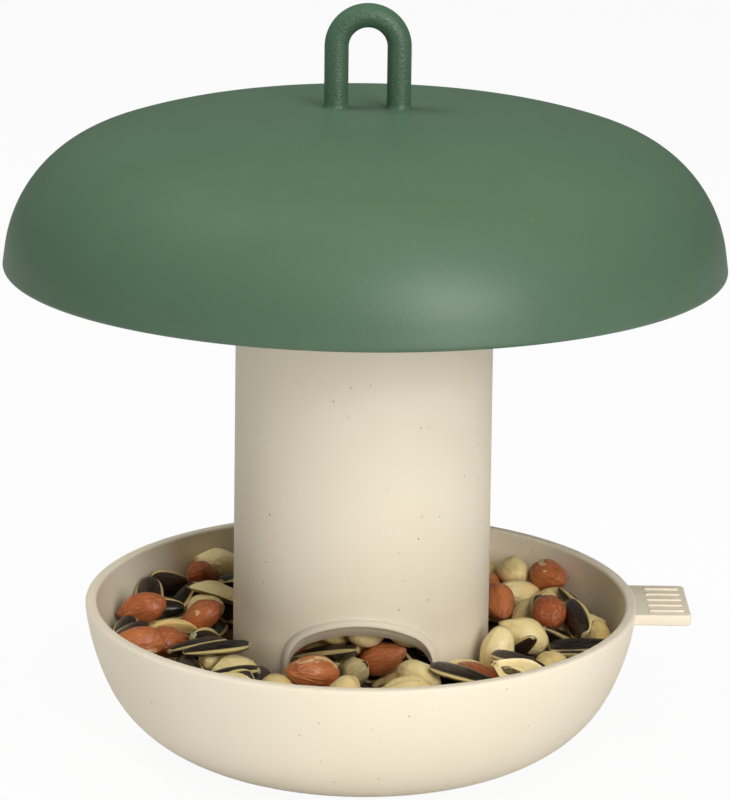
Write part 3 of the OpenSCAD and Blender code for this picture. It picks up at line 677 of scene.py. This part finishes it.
# %% Bowl section
BOWL_STEPS = 192
BOWL_R, BOWL_H, BOWL_WALL, SIDE_R = 84.0, 45.1, 3.5, 71.0
RIM_LEAN, BELLY_TURN, RIM_EDGE, FOOT_RING = math.radians(4.9), math.radians(25), 1.1, 8

side = Vector((BOWL_R - SIDE_R * math.cos(RIM_LEAN), BOWL_H + SIDE_R * math.sin(RIM_LEAN)))
belly_r = (BOWL_H - SIDE_R * (math.sin(BELLY_TURN) - math.sin(RIM_LEAN))) / (1 - math.sin(BELLY_TURN))
foot_x = side.x + (SIDE_R - belly_r) * math.cos(BELLY_TURN)
rim_rise = SIDE_R * math.sin(RIM_LEAN) + RIM_EDGE
out_turn = math.degrees(math.asin(rim_rise / (SIDE_R - RIM_EDGE)))
in_turn = math.degrees(math.asin(rim_rise / (SIDE_R - BOWL_WALL + RIM_EDGE)))
belly = math.degrees(BELLY_TURN)

bm = bmesh.new()
tip = pen_down(bm, 0, 0)
tip = pen_line(bm, tip, foot_x - FOOT_RING, 0, steps=2)
tip = pen_line(bm, tip, foot_x, 0, steps=2)
tip = pen_arc(bm, tip, (foot_x, belly_r), 90 - belly, 20)
tip = pen_arc(bm, tip, side, belly - out_turn, 14)
turn = math.radians(out_turn)
rim_out = side + (SIDE_R - RIM_EDGE) * Vector((math.cos(turn), -math.sin(turn)))
tip = pen_arc(bm, tip, rim_out, 90 + out_turn, 7)
turn = math.radians(in_turn)
rim_in = side + (SIDE_R - BOWL_WALL + RIM_EDGE) * Vector((math.cos(turn), -math.sin(turn)))
tip = pen_line(bm, tip, rim_in.x, rim_in.y + RIM_EDGE)
tip = pen_arc(bm, tip, rim_in, 90 - in_turn, 7)
tip = pen_arc(bm, tip, side, in_turn - belly, 14)
tip = pen_arc(bm, tip, (foot_x, belly_r), belly - 90, 20)
tip = pen_line(bm, tip, foot_x - FOOT_RING, BOWL_WALL, steps=2)
tip = pen_line(bm, tip, 0, BOWL_WALL, steps=2)
revolve(bm, BOWL_STEPS)
bowl_skin = as_mesh(bm, "bowl_skin")
print("bowl section: foot", round(foot_x, 1), "belly", round(belly_r, 1))


# %% Drain holes
def cut_holes(mesh, places, radius):
    """Cuts round holes straight down through a mesh with a boolean modifier and returns the cut mesh."""
    drill = bmesh.new()
    for x, y in places:
        bmesh.ops.create_cone(drill, cap_ends=True, segments=24, radius1=radius * MM, radius2=radius * MM,
                              depth=20 * MM, matrix=Matrix.Translation((x * MM, y * MM, 0)))
    body, tool = bpy.data.objects.new("cut", mesh), bpy.data.objects.new("drill", as_mesh(drill, "drill"))
    for made in (body, tool):
        scene.collection.objects.link(made)
    cut = body.modifiers.new("cut", "BOOLEAN")
    cut.object, cut.operation, cut.solver = tool, "DIFFERENCE", "EXACT"
    result = bpy.data.meshes.new_from_object(body.evaluated_get(bpy.context.evaluated_depsgraph_get()))
    for made in (body, tool):
        bpy.data.objects.remove(made)
    return result


DRAINS, DRAIN_R, DRAIN_CIRCLE = 6, 1.5, (TUBE_R + LIP_H + foot_x) / 2
drain = Vector((DRAIN_CIRCLE, 0))
drains = [Matrix.Rotation(math.tau * (i + 0.5) / DRAINS, 2) @ drain for i in range(DRAINS)]
bm = bmesh.new()
bm.from_mesh(cut_holes(bowl_skin, drains, DRAIN_R))
print("drain holes:", DRAINS, "on a circle of", round(DRAIN_CIRCLE, 1), "mm")

# %% [markdown]
# The grip tab is a flat plate on the rim, just under its top. A cube is scaled to size, its outer corners
# are rounded with a wide bevel and all its edges with a narrow one. Five plain grip bars stand on it.

# %% Grip tab
TAB_ROOT, TAB_REACH, TAB_W, TAB_T, TAB_FACE = 81.0, 99.6, 28.5, 3.4, 44.7
TAB_CORNER, TAB_EDGE = 1.5, 0.45
BARS, BAR_L, BAR_W, BAR_H = 5, 10.5, 1.3, 0.5
BAR_INSET, BAR_SINK, BAR_CORNER, BAR_EDGE = 2, 0.6, 0.4, 0.25


def rounded_plate(low, high, corner, edge, outer_only=False):
    """A box between two corners with rounded upright corners and softened edges."""
    box = bmesh.new()
    bmesh.ops.create_cube(box, size=1)
    size = Vector(high) - Vector(low)
    bmesh.ops.scale(box, vec=size * MM, verts=box.verts[:])
    bmesh.ops.translate(box, vec=(Vector(low) + size / 2) * MM, verts=box.verts[:])
    upright = [e for e in box.edges if abs(e.verts[0].co.z - e.verts[1].co.z) > 0.5 * size.z * MM]
    if outer_only:
        upright = [e for e in upright if e.verts[0].co.x > (high[0] - 0.01) * MM]
    bmesh.ops.bevel(box, geom=upright, offset=corner * MM, segments=6, profile=0.5, affect="EDGES",
                     material=-1)
    flat = [e for e in box.edges if abs(e.verts[0].co.z - e.verts[1].co.z) < 1e-6]
    bmesh.ops.bevel(box, geom=flat, offset=edge * MM, segments=3, profile=0.5, affect="EDGES", material=-1)
    return as_mesh(box, "plate")


join_on(bm, rounded_plate((TAB_ROOT, -TAB_W / 2, TAB_FACE - TAB_T), (TAB_REACH, TAB_W / 2, TAB_FACE),
                          TAB_CORNER, TAB_EDGE, outer_only=True))
pitch = (TAB_W - 2 * TAB_CORNER) / BARS
bar_end = TAB_REACH - BAR_INSET
for i in range(BARS):
    y = (i - (BARS - 1) / 2) * pitch
    join_on(bm, rounded_plate((bar_end - BAR_L, y - BAR_W / 2, TAB_FACE - BAR_SINK),
                              (bar_end, y + BAR_W / 2, TAB_FACE + BAR_H), BAR_CORNER, BAR_EDGE))

# %% Lock ring, and the bowl as a piece
RING_X, RING_Z = (30.0, 33.0), (2.9, 11.0)
FLANGE_X, FLANGE_Z, FLANGE_ARC = (31.5, 35.6), (8.6, 11.6), (12.7, 157.3)
join_on(bm, sector(RING_X, RING_Z, 0, 360))
for turn in (0, 180):
    join_on(bm, sector(FLANGE_X, FLANGE_Z, *shifted(FLANGE_ARC, turn)))
piece(bm, "feeding_bowl", "bowl", cream, sharp=42, replaces=["bowl"])

# %% [markdown]
# ## Feed: seed shapes
# The bowl and the silo are full of loose seeds. Each form is made once, as a sphere squeezed into shape, and
# then repeated: peanut kernels, halves of them, kernels in their red skin and striped sunflower seeds.
# Every vertex keeps its place on the sphere in the attribute "pattern", so that stripes, seams and wrinkles
# stay on the seed however it lies in the heap. The coarse hulls that fall are also sorted: a bmesh may hand
# out its faces in another order at the next run, and the seeds would then come to rest in another heap.

# %% Feed: seed shapes
SIM_MM = 0.1
dice = random.Random(11)


def steady_mesh(bm, name):
    """Mesh with its vertices and faces in the order of their places, so that every run gets the same one."""
    verts = sorted(bm.verts, key=lambda vert: tuple(round(value, 5) for value in vert.co))
    order = {vert: i for i, vert in enumerate(verts)}
    faces = []
    for face in bm.faces:
        corners = [order[vert] for vert in face.verts]
        first = corners.index(min(corners))
        corners = corners[first:] + corners[:first]
        if corners[1] > corners[-1]:
            corners = corners[:1] + corners[:0:-1]
        faces.append(corners)
    mesh = bpy.data.meshes.new(name)
    mesh.from_pydata([vert.co[:] for vert in verts], [], sorted(faces))
    bm.free()
    return mesh


def squeezed_sphere(squeeze, rings, sides):
    """Squeezes a sphere into a seed with its length along X, in millimetres, and keeps its pattern."""
    bm = bmesh.new()
    bmesh.ops.create_uvsphere(bm, u_segments=sides, v_segments=rings, radius=1,
                              matrix=Matrix.Rotation(math.pi / 2, 4, "Y"))
    pattern = bm.verts.layers.float_vector.new("pattern")
    for vert in bm.verts:
        girth = math.hypot(vert.co.y, vert.co.z)
        around = vert.co.yz / girth if girth > 0.001 else Vector((0, 0))
        vert[pattern] = vert.co
        vert.co = squeeze(vert.co.x, around.x, around.y, girth)
    return bm


def fine_seed(squeeze, halved):
    """The seed that is shown; a half has a hollowed flat face."""
    bm = squeezed_sphere(squeeze, 16, 24)
    if halved:
        bmesh.ops.bisect_plane(bm, geom=bm.verts[:] + bm.edges[:] + bm.faces[:], plane_co=(0, 0, 0),
                               plane_no=(0, 0, -1), clear_outer=True)
        rim = [edge for edge in bm.edges if edge.is_boundary]
        flat = bmesh.ops.holes_fill(bm, edges=rim, sides=0)["faces"]
        bmesh.ops.inset_region(bm, faces=flat, thickness=1.0, depth=0)
        bmesh.ops.inset_region(bm, faces=flat, thickness=0.9, depth=-0.6)
    bmesh.ops.recalc_face_normals(bm, faces=bm.faces[:])
    bmesh.ops.scale(bm, vec=(MM, MM, MM), verts=bm.verts[:])
    return as_mesh(bm, "seed")


def seed_hull(squeeze, halved):
    """The coarse seed that falls, in the simulation's units; a half is pressed flat."""
    bm = squeezed_sphere(squeeze, 6, 10)
    if halved:
        for vert in bm.verts:
            vert.co.z = max(vert.co.z, 0)
    bmesh.ops.scale(bm, vec=(SIM_MM, SIM_MM, SIM_MM), verts=bm.verts[:])
    return steady_mesh(bm, "seed_hull")


def kernel(wrinkle):
    """A squeeze into an oval kernel with one slimmer end; wrinkles are folds along it."""
    length, width, taper = dice.uniform(15.5, 18.5), dice.uniform(9.4, 10.8), dice.uniform(0.06, 0.2)
    start = dice.uniform(0, 50)

    def squeeze(along, across, up, girth):
        swell = 1 - taper * along - 0.1 * along ** 2 - 0.25 * max(along, 0) ** 4
        lump = noise.noise(Vector((along * 1.3 + start, across * girth, up * girth)))
        fold = noise.noise(Vector((along * 2.2 - start, across * 3.5, up * 3.5)))
        radius = girth * swell * width / 2 * (1 + 0.14 * lump + wrinkle * fold)
        reach = along * (1 + 0.1 * max(along, 0) ** 6) * length / 2
        return Vector((reach, across * radius, 0.93 * up * radius))
    return squeeze


def shell():
    """A squeeze into a flat sunflower shell: its section is a lens, with a sharp seam on both sides."""
    length, width, thickness = dice.uniform(18, 21.5), dice.uniform(7.8, 9), dice.uniform(4.2, 4.9)

    def squeeze(along, across, up, girth):
        swell = girth ** 0.75 * (1 + 0.18 * along)
        lens = math.copysign(1 - abs(across) ** 1.8, up)
        return Vector((along * length / 2, across * swell * width / 2, lens * swell * thickness / 2))
    return squeeze


forms = []
for kind, squeeze, halved, share in (
    [("kernels", kernel(0), False, 3) for _ in range(4)]
    + [("kernels", kernel(0), True, 3) for _ in range(2)]
    + [("redskins", kernel(0.06), False, 2) for _ in range(3)]
    + [("sunflowers", shell(), False, 9) for _ in range(3)]
):
    forms.append({"kind": kind, "share": share, "mesh": fine_seed(squeeze, halved),
                  "hull": seed_hull(squeeze, halved)})
print(len(forms), "seed forms with", [len(form["mesh"].polygons) for form in forms], "faces")

# %% [markdown]
# ## Feed: pouring it in
# Laid out by hand, a heap of seeds looks like a pattern. Here the seeds are poured: a rigid body
# simulation drops them in layers into two stand-in vessels, the bowl round the silo and the inside of the
# silo, and lets them come to rest. The vessels keep the seeds off the tube, which turns and lifts. Rigid
# bodies of a few millimetres jitter, so the simulation runs a hundred times larger, on coarse hulls, and
# the fine seeds take their places.

# %% Feed: pouring it in
FRAMES = 90
TUBE_CLEAR, SILO_CLEAR = 42.4, 32.8
BED_TOP, CONE_R, CONE_FOOT, CONE_TIP = 27.0, 31.8, 15.0, 38.2
BOWL_BRIM, SILO_BRIM, DROP_Z = 300, 400, 48


def vessel(name, line):
    """Turns a line of radii and heights into a thin vessel for the simulation."""
    bm = bmesh.new()
    tip = pen_down(bm, *line[0])
    for corner in line[1:]:
        tip = pen_line(bm, tip, *corner)
    revolve(bm, 96)
    bmesh.ops.scale(bm, vec=(SIM_MM / MM,) * 3, verts=bm.verts[:])
    return rigid(bpy.data.objects.new(name, steady_mesh(bm, name)), "PASSIVE", "MESH")


def rigid(made, kind, shape):
    """Makes an object a rigid body."""
    scene.collection.objects.link(made)
    bpy.context.view_layer.objects.active = made
    bpy.ops.rigidbody.object_add(type=kind)
    body = made.rigid_body
    body.collision_shape, body.friction, body.restitution = shape, 0.5, 0.0
    body.use_margin, body.collision_margin = True, 0.02
    if kind == "ACTIVE":
        body.linear_damping, body.angular_damping = 0.1, 0.3
    return made


def pour(count, circles, layer):
    """Hangs seeds in layers of circles above a vessel, each turned at random."""
    poured = []
    level = 0
    while len(poured) < count:
        for radius, number in circles:
            for i in range(number):
                form = dice.choices(forms, weights=[form["share"] for form in forms])[0]
                made = bpy.data.objects.new("falling", form["hull"])
                turn = 2 * math.pi * (i + level / 2 + dice.uniform(-0.1, 0.1)) / number
                spot = (radius * math.cos(turn), radius * math.sin(turn), DROP_Z + layer * level)
                made.location = Vector(spot) * SIM_MM
                made.rotation_euler = Euler([dice.uniform(0, 6.28) for _ in range(3)])
                poured.append((form, rigid(made, "ACTIVE", "CONVEX_HULL")))
        level += 1
    return poured


standing = set(bpy.data.objects)
bpy.ops.rigidbody.world_add()
scene.rigidbody_world.substeps_per_frame = 10
scene.rigidbody_world.point_cache.frame_end = FRAMES
scene.gravity = (0, 0, -30)
scene.frame_end = FRAMES
vessel("bowl_vessel", ((TUBE_CLEAR, BOWL_BRIM), (TUBE_CLEAR, BED_TOP), (76.0, BED_TOP), (77.0, 30),
                       (78.7, 36), (80.0, 44), (80.0, BOWL_BRIM)))
vessel("silo_vessel", ((SILO_CLEAR, SILO_BRIM), (SILO_CLEAR, CONE_FOOT), (CONE_R, CONE_FOOT),
                       (3, CONE_TIP - 0.4), (0, CONE_TIP)))
poured = {"bowl": pour(count=140, circles=((52, 15), (70, 20)), layer=20),
          "silo": pour(count=70, circles=((19, 5),), layer=21)}
for number in range(1, FRAMES + 1):
    scene.frame_set(number)
rested = {}
view = bpy.context.evaluated_depsgraph_get()
for vessel_name, seeds in poured.items():
    for form, made in seeds:
        spot, turn, _ = made.evaluated_get(view).matrix_world.decompose()
        place = Matrix.Translation(spot * MM / SIM_MM) @ turn.to_matrix().to_4x4()
        rested.setdefault((vessel_name, form["kind"]), []).append((form["mesh"], place, dice.random()))
for made in set(bpy.data.objects) - standing:
    bpy.data.objects.remove(made)
bpy.ops.rigidbody.world_remove()
scene.frame_set(1)
print("seeds at rest:", {key: len(seeds) for key, seeds in rested.items()})

# %% [markdown]
# ## Feed: finishes
# A kernel is pale and slightly oily, with a darker seam and specks. The red skin is papery, darker in its
# folds, and peels off in patches. The sunflower shell is nearly black, with fine stripes along it and a
# cream line on each seam. All read "pattern", shifted by the seed's own "tone", so that no two seeds look
# alike.


# %% Feed: finishes
TONE_SHIFT = 40.0


def seed_spot(tree):
    """Places on a seed: along it, across it as a share of its width there, its texture place and its tone."""
    pattern = node(tree, "ShaderNodeAttribute", attribute_name="pattern")
    shade = node(tree, "ShaderNodeAttribute", attribute_name="tone")
    axes = node(tree, "ShaderNodeSeparateXYZ", {0: pattern.outputs["Vector"]})
    square = calculate(tree, "MULTIPLY", axes.outputs[0], axes.outputs[0])
    girth = calculate(tree, "SQRT", calculate(tree, "SUBTRACT", 1.0001, square))
    across = calculate(tree, "DIVIDE", axes.outputs[1], girth)
    shift = calculate(tree, "MULTIPLY", shade.outputs["Fac"], TONE_SHIFT)
    moved = node(tree, "ShaderNodeVectorMath", {0: pattern.outputs["Vector"], 1: shift}, operation="ADD")
    return axes.outputs[0], across, moved.outputs[0], shade.outputs["Fac"]


def mottle(tree, vector, scale, low, high, detail=3.0):
    """A noise mask that rises from 0 to 1 between two levels of the noise."""
    cloud = node(tree, "ShaderNodeTexNoise", {"Vector": vector, "Scale": scale, "Detail": detail})
    levels = {"Value": cloud.outputs[0], "From Min": low, "From Max": high}
    return node(tree, "ShaderNodeMapRange", levels).outputs[0]


def layered(tree, colour, *layers):
    """Lays colours over one another, each with its mask and strength."""
    for mask, strength, over in layers:
        colour = mix_colours(tree, calculate(tree, "MULTIPLY", mask, strength), colour, over)
    return colour


def band(tree, value, low, high):
    """A mask of the absolute value between two levels."""
    levels = {"Value": calculate(tree, "ABSOLUTE", value), "From Min": low, "From Max": high}
    return node(tree, "ShaderNodeMapRange", levels).outputs[0]


def seed_finish(name, roughness, coat, colour, height, distance):
    """Joins a colour and a height to a Principled shader."""
    tree, shader = seed_trees[name]
    tree.links.new(colour, shader.inputs["Base Color"])
    shader.inputs["Roughness"].default_value = roughness
    shader.inputs["Coat Weight"].default_value = coat
    bump = node(tree, "ShaderNodeBump", {"Height": height, "Distance": distance * MM})
    tree.links.new(bump.outputs[0], shader.inputs["Normal"])


seed_trees, seed_materials = {}, {}
for name, viewport in (("kernels", tone(222, 198, 146)), ("redskins", tone(170, 96, 60)),
                       ("sunflowers", tone(48, 38, 30))):
    seed_materials[name], tree, shader = new_material(name, viewport)
    seed_trees[name] = (tree, shader)

tree = seed_trees["kernels"][0]
along, across, vector, shade = seed_spot(tree)
colour = layered(
    tree, mix_colours(tree, shade, tone(255, 236, 176), tone(246, 212, 134)),
    (mottle(tree, vector, 1.6, 0.45, 0.75), 0.4, tone(222, 182, 108)),
    (band(tree, across, 0.1, 0.02), 0.25, tone(170, 130, 74)),
    (band(tree, along, 0.88, 0.99), 0.6, tone(164, 112, 60)),
    (mottle(tree, vector, 7.0, 0.68, 0.74), 0.6, tone(146, 98, 54)),
)
seed_finish("kernels", 0.38, 0.1, colour, mottle(tree, vector, 3.0, 0.3, 0.7), 0.25)

tree = seed_trees["redskins"][0]
along, across, vector, shade = seed_spot(tree)
folds = node(tree, "ShaderNodeVectorMath", {0: vector, 1: (1.0, 2.6, 2.6)}, operation="MULTIPLY").outputs[0]
colour = layered(
    tree, mix_colours(tree, shade, tone(212, 126, 72), tone(174, 90, 48)),
    (mottle(tree, vector, 1.4, 0.45, 0.75), 0.6, tone(138, 66, 34)),
    (mottle(tree, folds, 2.6, 0.56, 0.74), 0.5, tone(230, 168, 112)),
    (mottle(tree, vector, 0.9, 0.64, 0.67), 0.85, tone(236, 208, 150)),
)
seed_finish("redskins", 0.38, 0.15, colour, mottle(tree, folds, 1.6, 0.25, 0.75, 4.0), 0.45)

tree = seed_trees["sunflowers"][0]
along, across, vector, shade = seed_spot(tree)
spread = calculate(tree, "MULTIPLY", across, 8.0)
lines = node(tree, "ShaderNodeCombineXYZ",
             {0: along, 1: spread, 2: calculate(tree, "MULTIPLY", shade, TONE_SHIFT)})
stripes = mottle(tree, lines.outputs[0], 1.6, 0.5, 0.66, 2.0)
colour = layered(
    tree, mix_colours(tree, shade, tone(42, 30, 21), tone(25, 18, 13)),
    (stripes, 0.4, tone(98, 80, 56)),
    (band(tree, across, 0.8, 0.88), 0.95, tone(232, 208, 140)),
    (band(tree, along, 0.94, 0.98), 0.8, tone(226, 206, 152)),
)
seed_finish("sunflowers", 0.3, 0.3, colour, stripes, 0.15)
print("seed finishes:", sorted(seed_materials))

# %% [markdown]
# Each kind of seed becomes one piece per vessel. The attributes are written after the copies are joined,
# in the same order, because a joined mesh keeps its vertices in the order in which the copies came.


# %% Feed: the heaps
def heap(name, seeds, kind, replaces=()):
    """Joins the placed seeds of one kind into a piece and writes their pattern and tone."""
    bm = bmesh.new()
    pattern, tones = [], []
    for form, place, shade in seeds:
        copy = form.copy()
        copy.transform(place)
        bm.from_mesh(copy)
        bpy.data.meshes.remove(copy)
        values = [0.0] * (3 * len(form.vertices))
        form.attributes["pattern"].data.foreach_get("vector", values)
        pattern += values
        tones += [shade] * len(form.vertices)
    made = piece(bm, name, "bowl", seed_materials[kind], sharp=50, replaces=replaces)
    for title, layer, field, values in (("pattern", "FLOAT_VECTOR", "vector", pattern),
                                        ("tone", "FLOAT", "value", tones)):
        found = made.data.attributes.get(title) or made.data.attributes.new(title, layer, "POINT")
        found.data.foreach_set(field, values)


SEED_NODES = {("bowl", "kernels"): ["peanut_kernels"], ("bowl", "redskins"): ["redskin_peanuts"],
              ("bowl", "sunflowers"): ["sunflower_seeds"], ("silo", "kernels"): ["silo_feed"]}
for (vessel_name, kind), seeds in sorted(rested.items()):
    heap(vessel_name + "_" + kind, seeds, kind, SEED_NODES.get((vessel_name, kind), ()))

# %% [markdown]
# ## Small parts that stay as they are
# The seed cone, the collar, the seal, the plate and the screws are plain turned or moulded shapes, and the
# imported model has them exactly. They only get a finish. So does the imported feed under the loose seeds, which
# shows in the gaps between them as a crowd of dim brown seeds.

# %% Finish: packed feed, steel and rubber
packed, tree, shader = new_material("packed_feed", tone(70, 50, 34))
spot = node(tree, "ShaderNodeTexCoord")
cells = node(tree, "ShaderNodeTexVoronoi", {"Vector": spot.outputs["Object"], "Scale": 120.0})
seed_tone = node(tree, "ShaderNodeSeparateColor", {0: cells.outputs["Color"]})
colour = mix_colours(tree, seed_tone.outputs[0], tone(44, 32, 22), tone(150, 108, 66))
bump = node(tree, "ShaderNodeBump", {"Height": cells.outputs["Distance"], "Distance": 3 * MM}, invert=True)
tree.links.new(colour, shader.inputs["Base Color"])
tree.links.new(bump.outputs[0], shader.inputs["Normal"])
shader.inputs["Roughness"].default_value = 0.6

steel, tree, shader = new_material("steel", tone(190, 192, 196))
spot = node(tree, "ShaderNodeTexCoord")
brushed = node(tree, "ShaderNodeTexNoise",
               {"Vector": spot.outputs["Object"], "Scale": 900.0, "Detail": 3.0, "Roughness": 0.7})
colour = mix_colours(tree, brushed.outputs[0], tone(170, 172, 176), tone(205, 206, 208))
gloss = node(tree, "ShaderNodeMapRange", {"Value": brushed.outputs[0], "To Min": 0.25, "To Max": 0.42})
tree.links.new(colour, shader.inputs["Base Color"])
tree.links.new(gloss.outputs[0], shader.inputs["Roughness"])
shader.inputs["Metallic"].default_value = 1.0

rubber, tree, shader = new_material("rubber", tone(60, 60, 60))
grain = place_group(tree, grain_group, {"Grain Size": 0.5 * MM})
# The rubber is painted darker in the pits of its grain: painted shade.
colour = mix_colours(tree, grain.outputs["Pits"], tone(66, 66, 66), tone(52, 52, 52))
bump = node(tree, "ShaderNodeBump", {"Height": grain.outputs["Height"], "Distance": 0.02 * MM})
tree.links.new(colour, shader.inputs["Base Color"])
tree.links.new(bump.outputs[0], shader.inputs["Normal"])
shader.inputs["Roughness"].default_value = 0.8


def dress(name, material):
    """Gives a CAD node a finish in place of its plain colour."""
    for slot in frame["nodes"][name].material_slots:
        slot.material = material
    print(name, "has", material.name)


for name, material in (
    ("seed_cone", cream), ("roof_collar", green), ("silo_seal", rubber),
    ("collar_screws", steel), ("loop_plate", steel), ("loop_screws", steel), ("feed_bed", packed),
):
    dress(name, material)

# %% [markdown]
# ## Light and background
# The feeder stands on a white floor in a dim studio. Two soft keys in front and to the right light the
# tube under the roof and put the broad highlight on the shoulder. The other lamps only fill and make no
# highlights: two high ones lift the crown and the left side, one shines straight down and a weak low one
# opens the left shadows. The background is white through the Light Path node, so no extra light falls on
# the object for that, and the floor keeps a share of its own shading, which holds the faint shadow under
# the bowl.

# %% World, floor and lamps
world = bpy.data.worlds.new("studio")
scene.world = world
world.use_nodes = True
tree = world.node_tree
tree.nodes.clear()
path = node(tree, "ShaderNodeLightPath")
ambient = node(tree, "ShaderNodeBackground", {"Color": (1.0, 0.985, 0.96, 1), "Strength": 0.15})
white = node(tree, "ShaderNodeBackground", {"Color": (1, 1, 1, 1), "Strength": 1.0})
choice = node(tree, "ShaderNodeMixShader", {0: path.outputs["Is Camera Ray"], 1: ambient.outputs[0],
                                            2: white.outputs[0]})
node(tree, "ShaderNodeOutputWorld", {"Surface": choice.outputs[0]})

floor_bm = bmesh.new()
bmesh.ops.create_grid(floor_bm, x_segments=1, y_segments=1, size=8.0)
floor_mesh = as_mesh(floor_bm, "floor")
floor = bpy.data.objects.new("floor", floor_mesh)
floor.location.z = -0.2 * MM
scene.collection.objects.link(floor)
floor_material = bpy.data.materials.new("floor")
floor_material.use_nodes = True
tree = floor_material.node_tree
tree.nodes.clear()
paper = node(tree, "ShaderNodeBsdfDiffuse", {"Color": (0.68, 0.68, 0.68, 1)})
glow = node(tree, "ShaderNodeEmission", {"Color": (1, 1, 1, 1), "Strength": 1.0})
path = node(tree, "ShaderNodeLightPath")
share = node(tree, "ShaderNodeMapRange", {"Value": path.outputs["Is Camera Ray"], "To Min": 0.02,
                                          "To Max": 0.94})
choice = node(tree, "ShaderNodeMixShader", {0: share.outputs[0], 1: paper.outputs[0], 2: glow.outputs[0]})
node(tree, "ShaderNodeOutputMaterial", {"Surface": choice.outputs[0]})
floor_mesh.materials.append(floor_material)


LAMP_REACH, LAMP_SIDE, LAMP_AIM = 1.6, 0.6, Vector((0, 0, 0.11))


def soft_lamp(name, turn, rise, power, shines):
    """A soft lamp at a turn and a rise round the feeder; one that doesn't shine makes no highlights."""
    turn, rise = math.radians(turn), math.radians(rise)
    way = Vector((math.sin(turn) * math.cos(rise), -math.cos(turn) * math.cos(rise), math.sin(rise)))
    data = bpy.data.lights.new(name, "AREA")
    data.shape, data.size, data.size_y = "RECTANGLE", LAMP_SIDE, LAMP_SIDE
    data.energy = power
    lamp = bpy.data.objects.new(name, data)
    lamp.location = LAMP_AIM + LAMP_REACH * way
    lamp.rotation_mode = "QUATERNION"
    lamp.rotation_quaternion = (LAMP_AIM - lamp.location).to_track_quat("-Z", "Y")
    lamp.visible_glossy = shines
    scene.collection.objects.link(lamp)


for lamp_values in (
    ("low_key", 28, 15, 9.0, True), ("high_key", 25, 31, 7.2, True), ("right_top", 40, 62, 7.5, False),
    ("left_top", -94, 63, 12.0, False), ("left_low", -60, 10, 1.8, False), ("overhead", 0, 85, 6.0, False),
):
    soft_lamp(*lamp_values)
scene.view_settings.view_transform = "Standard"
